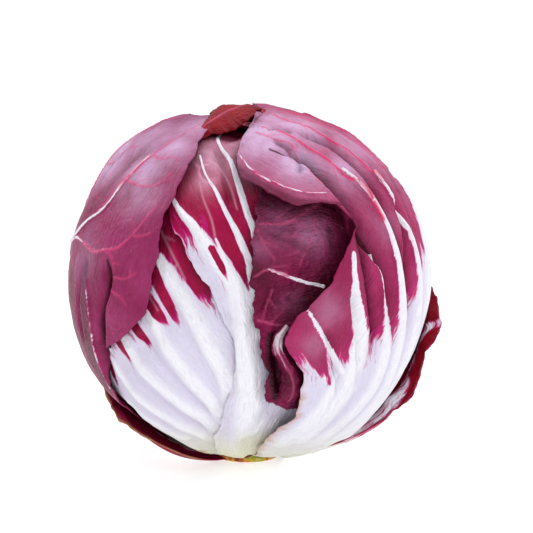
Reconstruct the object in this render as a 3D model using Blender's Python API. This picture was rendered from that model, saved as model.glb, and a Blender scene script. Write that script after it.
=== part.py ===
"""Radicchio head, the round red kind, standing on its cut stem.

A short core grows up the middle. Inner leaves are wrapped round it as nested shells, and nine outer
leaves lie over them, each one resting on those beneath it. The origin is the centre of the cut face
of the stem, +Z is up, and -Y is the side with the long white ribs.

A place on the ball is written as (azimuth, climb), in degrees. Azimuth 0 is the front and 90 is the
right-hand side, +X. Climb is 0 at the stem, 90 at the widest part and 180 at the crown.
"""

import math

import bpy
import numpy as np

MM = 0.001

# Driving dimensions.
HEAD_RADIUS = 65 * MM
CENTRE_HEIGHT = 64.5 * MM
STEM_RADIUS = 11.5 * MM
BASE_HOLLOW = 5.2 * MM  # how far the leaf bases rise round the stem
BASE_HOLLOW_DEGREES = 14
LEAF_THICKNESS = 1.1 * MM
LEAF_CLEARANCE = 1.1 * MM
STACK_DEPTH = 4.5 * MM  # where the outer leaves start when they are stacked from the inside
OUTWARD_SHARE = 0.4  # how much a leaf rides up on those beneath, against pressing them in
COVER_DEGREES = 6.5
COVER_FADE_DEGREES = 9

INNER_LEAVES = 10
INNER_RADIUS = 53.4 * MM
INNER_PITCH = 3.8 * MM
INNER_THICKNESS = 1.7 * MM
INNER_FACET = 6.5 * MM  # about the distance between the grid points of an inner leaf
GOLDEN_ANGLE = 137.5
HEART_RADIUS = 14.2 * MM

OUTER_GRID = (13, 17)
SAMPLE_GRID = (33, 61)

CREAM = (0.72, 0.70, 0.62, 1)
STEM_TAN = (0.55, 0.42, 0.16, 1)
LEAF_COLOURS = {"rib_white": (0.62, 0.35, 0.48, 1), "purple": (0.36, 0.07, 0.18, 1), "crimson": (0.30, 0.02, 0.08, 1)}

# The outer leaves, from the outermost in. Each one has the lines of its ribs, from one side margin to
# the other, and each line runs from the stem to the leaf's edge. "room" is the depth that the leaf's
# folds need beneath its outer surface, and "lift" how far its first margin stands off the ball.
OUTER_LEAVES = {
    "back_right_leaf": {
        "colour": "crimson",
        "lift": 6 * MM,
        "lines": (
            ((60, 12), (66, 30), (76, 48), (84, 66), (88, 84), (96, 94)),
            ((82, 12), (88, 34), (96, 56), (102, 80), (106, 104)),
            ((108, 12), (114, 38), (120, 66), (124, 96), (128, 128)),
            ((136, 12), (144, 38), (152, 66), (156, 96), (158, 130)),
            ((164, 12), (176, 34), (186, 58), (190, 84), (186, 112)),
        ),
    },
    "back_left_leaf": {
        "colour": "purple",
        "lift": 2.5 * MM,
        "lines": (
            ((-34, 12), (-54, 28), (-74, 44), (-84, 60), (-94, 76), (-106, 90)),
            ((-76, 12), (-92, 34), (-106, 56), (-116, 78), (-124, 102)),
            ((-112, 12), (-124, 38), (-134, 64), (-140, 92), (-142, 120)),
            ((-146, 12), (-156, 38), (-164, 62), (-168, 86), (-166, 110)),
            ((-174, 12), (-182, 34), (-190, 54), (-194, 74), (-190, 94)),
        ),
    },
    "left_cap_leaf": {
        "colour": "purple",
        "lines": (
            ((-98, 12), (-84, 36), (-62, 52), (-50, 72), (-33, 86), (-28, 108), (-25, 140), (-18, 170)),
            ((-108, 12), (-98, 42), (-78, 66), (-62, 88), (-48, 110), (-38, 134), (-30, 168)),
            ((-120, 12), (-108, 44), (-96, 76), (-82, 102), (-60, 118), (-46, 138), (-30, 172)),
            ((-134, 12), (-126, 46), (-118, 82), (-108, 114), (-90, 138), (-60, 166)),
            ((-148, 12), (-148, 44), (-146, 78), (-142, 108), (-130, 134), (-110, 158)),
        ),
    },
    "right_wrapper_leaf": {
        "colour": "rib_white",
        "room": 4.4 * MM,
        "lines": (
            ((8, 12), (10, 36), (19, 56), (15, 78), (28, 102), (32, 117), (12, 125), (-2, 137), (6, 156), (20, 169)),
            ((14, 12), (28, 38), (42, 62), (39, 84), (36, 104), (30, 121), (16, 133), (8, 146), (18, 163), (50, 176)),
            ((22, 12), (42, 40), (52, 66), (50, 88), (45, 107), (36, 125), (27, 138), (24, 152), (38, 167), (90, 176)),
            ((32, 12), (56, 42), (66, 68), (66, 90), (61, 109), (54, 127), (48, 141), (48, 155), (66, 168), (130, 176)),
            ((44, 12), (72, 44), (84, 70), (86, 92), (82, 112), (76, 130), (72, 145), (76, 159), (100, 169), (150, 172)),
            ((56, 12), (88, 42), (104, 68), (108, 92), (106, 114), (102, 132), (102, 148), (112, 160), (140, 166)),
        ),
    },
    "back_leaf": {
        "colour": "rib_white",
        "lines": (
            ((112, 12), (108, 42), (106, 74), (108, 106), (112, 134), (120, 158)),
            ((132, 12), (128, 44), (128, 78), (130, 112), (136, 142), (150, 170)),
            ((152, 12), (152, 46), (154, 82), (156, 118), (162, 150), (180, 178)),
            ((172, 12), (178, 46), (182, 82), (184, 116), (188, 146), (210, 174)),
            ((192, 12), (204, 44), (210, 76), (212, 106), (214, 134), (222, 160)),
        ),
    },
    "front_dark_leaf": {
        "colour": "crimson",
        "lines": (
            ((42, 12), (34, 36), (22, 52), (12, 53), (6, 58)),
            ((48, 12), (46, 42), (34, 66), (19, 73), (4, 75)),
            ((54, 12), (56, 52), (44, 86), (24, 95), (2, 93)),
            ((60, 12), (66, 58), (56, 102), (32, 119), (3, 113)),
            ((68, 12), (76, 62), (68, 112), (46, 138), (8, 136)),
        ),
    },
    "crown_leaf": {
        "colour": "crimson",
        "lines": (
            ((-156, 12), (-144, 56), (-134, 98), (-120, 136), (-92, 160), (-50, 170)),
            ((-172, 12), (-166, 58), (-160, 102), (-152, 144), (-136, 170), (-20, 176)),
            ((172, 12), (174, 60), (176, 106), (178, 150), (180, 174), (180, 190)),
            ((156, 12), (150, 58), (146, 102), (140, 142), (118, 164), (50, 170)),
            ((140, 12), (128, 54), (120, 94), (110, 130), (92, 152), (60, 162)),
        ),
    },
    "front_centre_leaf": {
        "colour": "rib_white",
        "lines": (
            ((-6, 12), (-2, 44), (-3, 74), (-14, 99), (-27, 117), (-42, 140), (-76, 165)),
            ((-2, 12), (1, 42), (-1, 70), (-8, 95), (-20, 113), (-34, 140), (-90, 175)),
            ((3, 12), (9, 44), (5, 76), (-1, 104), (-12, 125), (-12, 152), (-10, 184)),
            ((9, 12), (18, 44), (13, 80), (5, 111), (-3, 134), (4, 156), (60, 177)),
            ((16, 12), (40, 42), (42, 76), (40, 106), (36, 132), (40, 152), (66, 168)),
        ),
    },
    "front_left_leaf": {
        "colour": "rib_white",
        "lines": (
            ((-34, 12), (-37, 27), (-52, 39), (-67, 47), (-84, 62), (-98, 88)),
            ((-26, 12), (-24, 36), (-33, 52), (-49, 60), (-68, 76), (-84, 102)),
            ((-18, 12), (-13, 40), (-22, 59), (-38, 70), (-54, 87), (-68, 114)),
            ((-13, 12), (-6, 43), (-13, 62), (-26, 75), (-39, 93), (-52, 124)),
            ((-8, 12), (0, 46), (-6, 68), (-16, 86), (-28, 104), (-38, 132)),
            ((-3, 12), (10, 48), (6, 74), (-4, 98), (-14, 120), (-22, 144)),
        ),
    },
}


def direction(azimuth, climb):
    """Unit vector from the ball's centre to a place on it."""
    a, c = math.radians(azimuth), math.radians(climb)
    return np.array((math.sin(c) * math.sin(a), -math.sin(c) * math.cos(a), -math.cos(c)))


def smooth_step(x):
    x = np.clip(x, 0, 1)
    return x * x * (3 - 2 * x)


def through(points, share):
    """Places at these shares of a smooth curve through evenly timed points, along the first axis."""
    points = np.asarray(points, float)
    ends = np.concatenate([2 * points[:1] - points[1:2], points, 2 * points[-1:] - points[-2:-1]])
    along = np.clip(share, 0, 1) * (len(points) - 1)
    start = np.minimum(along.astype(int), len(points) - 2)
    t = (along - start).reshape(-1, *[1] * (points.ndim - 1))
    a, b, c, d = (ends[start + i] for i in range(4))
    return b + 0.5 * t * (c - a + t * (2 * a - 5 * b + 4 * c - d + t * (3 * (b - c) + d - a)))


def leaf_directions(lines, grid):
    """Unit vectors over a leaf, as an array (across, along, 3)."""
    across, along = (np.linspace(0, 1, n) for n in grid)
    ribs = [through([direction(*place) for place in line], along) for line in lines]
    loft = through(ribs, across)
    return loft / np.linalg.norm(loft, axis=-1, keepdims=True)


def climb_of(directions):
    return np.degrees(np.arccos(np.clip(-directions[..., 2], -1, 1)))


def ball_radius(directions):
    """Distance from the ball's centre to its outside, which is hollow round the stem."""
    return HEAD_RADIUS - BASE_HOLLOW * np.exp(-((climb_of(directions) / BASE_HOLLOW_DEGREES) ** 2))


def cover(directions, samples):
    """1 over a leaf, fading to 0 beside it. The fade is short at the stem, where the leaves sit side by side."""
    nearest = (directions.reshape(-1, 3) @ samples.reshape(-1, 3).T).max(axis=1)
    degrees = np.degrees(np.arccos(np.clip(nearest, -1, 1))).reshape(directions.shape[:-1])
    width = 0.3 + 0.7 * smooth_step((climb_of(directions) - 15) / 30)
    return 1 - smooth_step((degrees / width - COVER_DEGREES) / COVER_FADE_DEGREES)


def outer_surface(name, directions, samples):
    """Distance from the ball's centre to an outer leaf's outside, where it lies in the stack of leaves."""
    names = list(OUTER_LEAVES)
    rank = names.index(name)
    room = {n: OUTER_LEAVES[n].get("room", LEAF_THICKNESS + LEAF_CLEARANCE) for n in names}
    depth = sum((room[n] * cover(directions, samples[n]) for n in names[:rank]), np.zeros(directions.shape[:-1]))
    height = sum((room[n] * cover(directions, samples[n]) for n in names[rank + 1 :]), room[name] - LEAF_CLEARANCE)
    share = OUTWARD_SHARE * smooth_step((climb_of(directions) - 30) / 40)
    return ball_radius(directions) - (1 - share) * depth + share * (height - STACK_DEPTH)


def material(name, colour, roughness):
    made = bpy.data.materials.new(name)
    made.use_nodes = True
    shader = made.node_tree.nodes["Principled BSDF"]
    shader.inputs["Base Color"].default_value = colour
    shader.inputs["Roughness"].default_value = roughness
    made.diffuse_color = colour
    return made


def add_object(name, points, faces, finish):
    mesh = bpy.data.meshes.new(name)
    mesh.from_pydata([tuple(p) for p in points], [], faces)
    mesh.materials.append(finish)
    mesh.shade_smooth()
    obj = bpy.data.objects.new(name, mesh)
    bpy.context.scene.collection.objects.link(obj)
    return obj


def add_sheet(name, directions, outside, thickness, finish):
    """A closed leaf between its outside and its underside, which lies the leaf's thickness further in."""
    step_across, step_along = directions[1, 0] - directions[0, 0], directions[0, 1] - directions[0, 0]
    if np.dot(np.cross(step_across, step_along), directions[0, 0]) < 0:
        directions, outside = directions[::-1], outside[::-1]
    across, along = directions.shape[:2]
    outer = directions * outside[..., None]
    inner = directions * (outside - thickness)[..., None]
    points = np.concatenate([outer.reshape(-1, 3), inner.reshape(-1, 3)])
    points[:, 2] += CENTRE_HEIGHT
    count = across * along

    def at(i, j, side):
        return side * count + i * along + j

    faces = []
    for i in range(across - 1):
        for j in range(along - 1):
            ring = ((i, j), (i + 1, j), (i + 1, j + 1), (i, j + 1))
            faces.append([at(*p, 0) for p in ring])
            faces.append([at(*p, 1) for p in reversed(ring)])
    rim = [(i, 0) for i in range(across)]
    rim += [(across - 1, j) for j in range(1, along)]
    rim += [(i, along - 1) for i in reversed(range(across - 1))]
    rim += [(0, j) for j in reversed(range(1, along - 1))]
    for here, there in zip(rim, rim[1:] + rim[:1]):
        faces.append([at(*there, 0), at(*here, 0), at(*here, 1), at(*there, 1)])
    return add_object(name, points, faces, finish)


def add_outer_leaves():
    finishes = {n: material(n, colour, 0.42) for n, colour in LEAF_COLOURS.items()}
    samples = {n: leaf_directions(leaf["lines"], SAMPLE_GRID) for n, leaf in OUTER_LEAVES.items()}
    for name, leaf in OUTER_LEAVES.items():
        directions = leaf_directions(leaf["lines"], OUTER_GRID)
        outside = outer_surface(name, directions, samples)
        across, along = (np.linspace(0, 1, n) for n in OUTER_GRID)
        stand_off = np.outer((1 - smooth_step(across / 0.45)), smooth_step((along - 0.15) / 0.5))
        outside = outside + leaf.get("lift", 0) * stand_off
        add_sheet(name, directions, outside, LEAF_THICKNESS, finishes[leaf["colour"]])


def core_radius(height):
    """The stem and the core above it narrow towards the heart."""
    return np.interp(height, (0, 4 * MM, 20 * MM, 46 * MM), (STEM_RADIUS, STEM_RADIUS, 7 * MM, 3 * MM))


def inner_leaf_lines(azimuth, radius):
    """A rounded leaf that reaches two thirds of the way round the core and meets it at its base."""
    foot = math.degrees(math.asin((core_radius(CENTRE_HEIGHT - radius) + 1.2 * MM) / radius))
    lines = []
    for turn, top in ((-125, 122), (-75, 146), (-25, 162), (25, 162), (75, 146), (125, 122)):
        climbs = np.linspace(foot, top, 5)
        spread = (0.45, 0.85, 1.0, 1.0, 0.95)
        lines.append([(azimuth + turn * s, c) for s, c in zip(spread, climbs)])
    return lines


def add_inner_leaves():
    finish = material("inner_leaf", (0.45, 0.16, 0.27, 1), 0.45)
    for number in range(INNER_LEAVES):
        radius = INNER_RADIUS - number * INNER_PITCH
        grid = (4 + round(radius / INNER_FACET), 3 + round(radius / INNER_FACET))
        directions = leaf_directions(inner_leaf_lines(number * GOLDEN_ANGLE, radius), grid)
        outside = np.full(directions.shape[:2], radius)
        add_sheet(f"inner_leaf_{number + 1:02d}", directions, outside, INNER_THICKNESS, finish)


def add_turned(name, profile, sides, finish):
    """A closed shape turned about the Z axis, from a profile of (radius, height) between two points on it."""
    points = [(0, 0, profile[0][1])]
    for radius, height in profile[1:-1]:
        turns = [2 * math.pi * i / sides for i in range(sides)]
        points += [(radius * math.cos(t), radius * math.sin(t), height) for t in turns]
    points.append((0, 0, profile[-1][1]))
    rings, top = len(profile) - 2, len(points) - 1
    faces = []
    for i in range(sides):
        j = (i + 1) % sides
        faces.append((0, 1 + j, 1 + i))
        for ring in range(rings - 1):
            low, high = 1 + ring * sides, 1 + (ring + 1) * sides
            faces.append((low + i, low + j, high + j, high + i))
        last = 1 + (rings - 1) * sides
        faces.append((last + i, last + j, top))
    return add_object(name, points, faces, finish)


def add_stem():
    """The cut stem and the core above it: a flat cut face, a short straight side, then a taper."""
    heights = (0, 0, 3.6 * MM, 9 * MM, 20 * MM, 33 * MM, 46 * MM, 47.5 * MM)
    profile = [(0 if i in (0, len(heights) - 1) else float(core_radius(h)), h) for i, h in enumerate(heights)]
    add_turned("stem", profile, 28, material("stem", STEM_TAN, 0.6))


def add_heart():
    """The tight bud of the youngest leaves, on top of the core."""
    steps = 9
    turn = [math.pi * i / (steps - 1) for i in range(steps)]
    profile = [
        (HEART_RADIUS * math.sin(t), CENTRE_HEIGHT - HEART_RADIUS * math.cos(t) * (1.25 if t > math.pi / 2 else 1))
        for t in turn
    ]
    add_turned("heart_bud", profile, 16, material("heart_bud", CREAM, 0.5))


def main():
    for obj in list(bpy.data.objects):
        bpy.data.objects.remove(obj)
    add_stem()
    add_heart()
    add_inner_leaves()
    add_outer_leaves()


main()
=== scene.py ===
# %% [markdown]
# # A radicchio head
# A radicchio is a ball of thin waxy leaves on a short stem. Every leaf starts at the stem as thick
# white ribs and ends in soft purple tissue, and each one lies on those beneath it. This lesson builds
# the leaves one by one, from a few lines of ribs each, and paints the red and the white between them.
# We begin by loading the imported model. It is the frame that every piece has to fit.

# %% Load the frame
import math

import bpy
import numpy as np
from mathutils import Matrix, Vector


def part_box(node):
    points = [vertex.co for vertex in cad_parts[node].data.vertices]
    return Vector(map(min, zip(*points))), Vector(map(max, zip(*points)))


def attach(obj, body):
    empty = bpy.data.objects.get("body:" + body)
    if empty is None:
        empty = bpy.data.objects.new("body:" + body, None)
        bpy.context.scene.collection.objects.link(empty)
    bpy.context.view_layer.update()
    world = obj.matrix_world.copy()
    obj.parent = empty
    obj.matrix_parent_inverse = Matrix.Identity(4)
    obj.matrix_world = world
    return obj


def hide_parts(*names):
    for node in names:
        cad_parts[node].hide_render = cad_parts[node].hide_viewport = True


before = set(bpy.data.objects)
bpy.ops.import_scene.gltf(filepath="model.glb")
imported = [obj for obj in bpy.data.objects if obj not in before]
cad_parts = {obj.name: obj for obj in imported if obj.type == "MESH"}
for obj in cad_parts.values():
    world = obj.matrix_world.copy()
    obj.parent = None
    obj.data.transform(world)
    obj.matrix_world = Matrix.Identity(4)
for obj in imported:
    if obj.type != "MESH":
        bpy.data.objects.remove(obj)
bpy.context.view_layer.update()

print("nodes in the frame:", len(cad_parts))

# %% [markdown]
# ## Units and places
# Everything is in metres, so MM keeps the sizes readable. The head is nearly a ball. A place on it is
# written as (azimuth, climb) in degrees: azimuth 0 is the front and 90 the right-hand side, and climb
# runs from 0 at the stem over 90 at the widest part to 180 at the crown. A globe would need latitude
# and longitude in the same way. It beats x, y, z here, because a leaf grows from low climb to high.

# %% Units and places
MM = 0.001
HEAD_RADIUS = 65 * MM
CENTRE = np.array((0, 0, 64.5 * MM))
STEM_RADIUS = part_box("stem")[1].x
BASE_HOLLOW = 5.2 * MM
BASE_HOLLOW_DEGREES = 14


def direction(azimuth, climb):
    a, c = math.radians(azimuth), math.radians(climb)
    return np.array((math.sin(c) * math.sin(a), -math.sin(c) * math.cos(a), -math.cos(c)))


def climb_of(directions):
    return np.degrees(np.arccos(np.clip(-directions[..., 2], -1, 1)))


def azimuth_of(directions):
    return np.degrees(np.arctan2(directions[..., 0], -directions[..., 1]))


def smooth_step(x):
    x = np.clip(x, 0, 1)
    return x * x * (3 - 2 * x)


def unit(vectors):
    return vectors / np.linalg.norm(vectors, axis=-1, keepdims=True)


print("the front at the widest part points to", direction(0, 90).round(3))

# %% [markdown]
# ## The camera
# The head is seen from a little above its middle, from a distance at which a long lens shows the ball
# with hardly any perspective. The camera looks slightly right of the head and above it, so that the
# head stands a little left and low in the frame.

# %% The camera
CAMERA_DISTANCE = 0.70
CAMERA_ELEVATION = math.radians(6)
AIM_RIGHT = 7.1 * MM
AIM_UP = 5.6 * MM
LENS = 130.2

look = np.array((0, math.cos(CAMERA_ELEVATION), -math.sin(CAMERA_ELEVATION)))
up = np.array((0, math.sin(CAMERA_ELEVATION), math.cos(CAMERA_ELEVATION)))
aim = CENTRE + np.array((AIM_RIGHT, 0, 0)) + up * AIM_UP
camera = bpy.data.objects.new("camera", bpy.data.cameras.new("camera"))
camera.data.lens = LENS
camera.data.clip_start = 0.01
camera.location = aim - look * CAMERA_DISTANCE
camera.rotation_euler = (math.pi / 2 - CAMERA_ELEVATION, 0, 0)
bpy.context.scene.collection.objects.link(camera)
bpy.context.scene.camera = camera
print("camera at", tuple(round(x, 3) for x in camera.location))

# %% [markdown]
# ## A helper for nodes
# Materials and Geometry Nodes are both trees of nodes. Building them by hand is slow, so this one
# function adds a node, sets its options, and fills or links its inputs.


# %% A helper for nodes
def add_node(tree, kind, inputs=None, **options):
    made = tree.nodes.new(kind)
    for name, value in options.items():
        setattr(made, name, value)
    for key, value in (inputs or {}).items():
        if isinstance(value, bpy.types.NodeSocket):
            tree.links.new(value, made.inputs[key])
        else:
            made.inputs[key].default_value = value
    return made


def linear(hex_colour):
    """An sRGB hex colour as linear RGBA."""
    channels = [int(hex_colour[i : i + 2], 16) / 255 for i in (1, 3, 5)]
    return (*[c / 12.92 if c <= 0.04045 else ((c + 0.055) / 1.055) ** 2.4 for c in channels], 1)


print("cream in linear light:", [round(c, 3) for c in linear("#e9e6d6")])

# %% [markdown]
# ## The light
# A head like this is usually shown on a white light table: the floor glows, so it has almost no
# shadow, and one wide softbox hangs overhead. It lights the leaves where they face up, and there its
# reflection turns the wax a little lilac; the rest of that sheen is painted. Two weaker panels open up
# the sides, and a large one fills in from the front. One sun lamp would be simpler, but its hard
# shadows would hide the folds. The world is white: dim where it lights the head, and bright where
# the camera sees it.

# %% The light
FLOOR_SIZE = 6.0
FLOOR_GREY = "#b2b2b2"
FLOOR_ROUGHNESS = 0.32
FLOOR_GLOW = 0.69
WORLD_LIGHT = 0.52
WORLD_SEEN = 1.05
LIGHTS = {
    "overhead_softbox": ((0.0, 0.15, 0.85), (1.0, 0.7), 5.0),
    "left_panel": ((-0.75, 0.45, 0.60), (0.4, 0.4), 3.4),
    "right_panel": ((0.80, 0.20, 0.65), (0.4, 0.4), 2.8),
    "front_fill": ((0.15, -1.1, 0.45), (0.8, 0.5), 4.0),
}


def add_softbox(name, place, size, watts):
    lamp = bpy.data.lights.new(name, "AREA")
    lamp.shape = "RECTANGLE"
    lamp.size, lamp.size_y = size
    lamp.energy = watts
    softbox = bpy.data.objects.new(name, lamp)
    softbox.location = place
    toward = (CENTRE - np.array(place)).tolist()
    softbox.rotation_mode = "QUATERNION"
    softbox.rotation_quaternion = Vector(toward).to_track_quat("-Z", "Y")
    bpy.context.scene.collection.objects.link(softbox)


for name, (place, size, watts) in LIGHTS.items():
    add_softbox(name, place, size, watts)

world = bpy.data.worlds.new("white_room")
world.use_nodes = True
bpy.context.scene.world = world
world.node_tree.nodes.clear()
seen = add_node(world.node_tree, "ShaderNodeLightPath")
by_view = {"Value": seen.outputs["Is Camera Ray"], "To Min": WORLD_LIGHT, "To Max": WORLD_SEEN}
strength = add_node(world.node_tree, "ShaderNodeMapRange", by_view)
sky = add_node(world.node_tree, "ShaderNodeBackground",
               {"Color": (1, 1, 1, 1), "Strength": strength.outputs[0]})
add_node(world.node_tree, "ShaderNodeOutputWorld", {"Surface": sky.outputs[0]})
bpy.context.scene.view_settings.view_transform = "Standard"

floor_mesh = bpy.data.meshes.new("floor")
half = FLOOR_SIZE / 2
floor_mesh.from_pydata([(-half, -half, 0), (half, -half, 0), (half, half, 0), (-half, half, 0)], [],
                       [(0, 1, 2, 3)])
floor = bpy.data.objects.new("floor", floor_mesh)
bpy.context.scene.collection.objects.link(floor)
# Opal acrylic, lit from below: nearly white all over, with a soft gloss that catches the head.
glow = bpy.data.materials.new("white_acrylic_light_table")
glow.use_nodes = True
panel = glow.node_tree.nodes["Principled BSDF"].inputs
panel["Base Color"].default_value = linear(FLOOR_GREY)
panel["Roughness"].default_value = FLOOR_ROUGHNESS
panel["Emission Color"].default_value = (1, 1, 1, 1)
panel["Emission Strength"].default_value = FLOOR_GLOW
floor_mesh.materials.append(glow)
print("lights:", ", ".join(LIGHTS))

# %% [markdown]
# ## Smooth lines and lofts
# A leaf could be sculpted, but a grown leaf follows a rule: its ribs start together at the stem and
# fan out. So a leaf is given as its rib lines, with a few places on each, and the surface between two
# ribs is a smooth loft. A third number on a place lifts the leaf off the head there, in millimetres.


# %% Smooth lines and lofts
def through(points, share):
    """Places at these shares of a smooth curve through evenly timed points, along the first axis."""
    ends = np.concatenate([2 * points[:1] - points[1:2], points, 2 * points[-1:] - points[-2:-1]])
    along = np.clip(share, 0, 1) * (len(points) - 1)
    start = np.minimum(along.astype(int), len(points) - 2)
    t = (along - start).reshape(-1, *[1] * (points.ndim - 1))
    a, b, c, d = (ends[start + i] for i in range(4))
    return b + 0.5 * t * (c - a + t * (2 * a - 5 * b + 4 * c - d + t * (3 * (b - c) + d - a)))


def line_over(places, count):
    """Evenly spaced points (x, y, z, lift) on a smooth line over the head."""
    knots = np.array([(*direction(*place[:2]), *(place[2:] or (0,))) for place in places], float)
    fine = through(knots, np.linspace(0, 1, 240))
    steps = np.linalg.norm(np.diff(fine[:, :3], axis=0), axis=1)
    length = np.concatenate([[0], np.cumsum(steps)])
    even = np.linspace(0, length[-1], count)
    line = np.stack([np.interp(even, length, fine[:, i]) for i in range(4)], axis=1)
    line[:, :3] = unit(line[:, :3])
    return line


def loft_leaf(lines, grid):
    """Directions (across, along, 3) and lifts (across, along) over a leaf."""
    across, along = grid
    ribs = np.array([line_over(places, along) for places in lines])
    sheet = through(ribs, np.linspace(0, 1, across))
    return unit(sheet[..., :3]), sheet[..., 3] * MM


def nearest_on(directions, line):
    """Distance in metres from each direction to a line over the head, and the share of the line there."""
    flat = directions.reshape(-1, 3).astype(np.float32)
    points = line[:, :3].astype(np.float32)
    best = np.argmax(flat @ points.T, axis=1)
    distance = np.full(len(flat), 9.0)
    share = np.zeros(len(flat))
    for first in (np.maximum(best - 1, 0), np.minimum(best, len(points) - 2)):
        start, step = points[first], points[first + 1] - points[first]
        t = np.clip(((flat - start) * step).sum(1) / (step * step).sum(1), 0, 1)
        away = np.linalg.norm(flat - start - t[:, None] * step, axis=1)
        closer = away < distance
        distance[closer], share[closer] = away[closer], (first + t)[closer] / (len(points) - 1)
    shape = directions.shape[:-1]
    return distance.reshape(shape) * HEAD_RADIUS, share.reshape(shape)


short_line = line_over(((0, 90), (0, 91)), 5)
print("from the right-hand side to the front:", nearest_on(direction(90, 90)[None], short_line)[0].round(3),
      "m")

# %% [markdown]
# ## The outer leaves
# Nine leaves make up the outside, and they are listed from the outermost in. Each has its rib lines
# from one side margin to the other, running from the stem to the leaf's edge. "room" is the depth that
# its folds need. The list is the plan of the head: everything that follows reads it.

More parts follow.
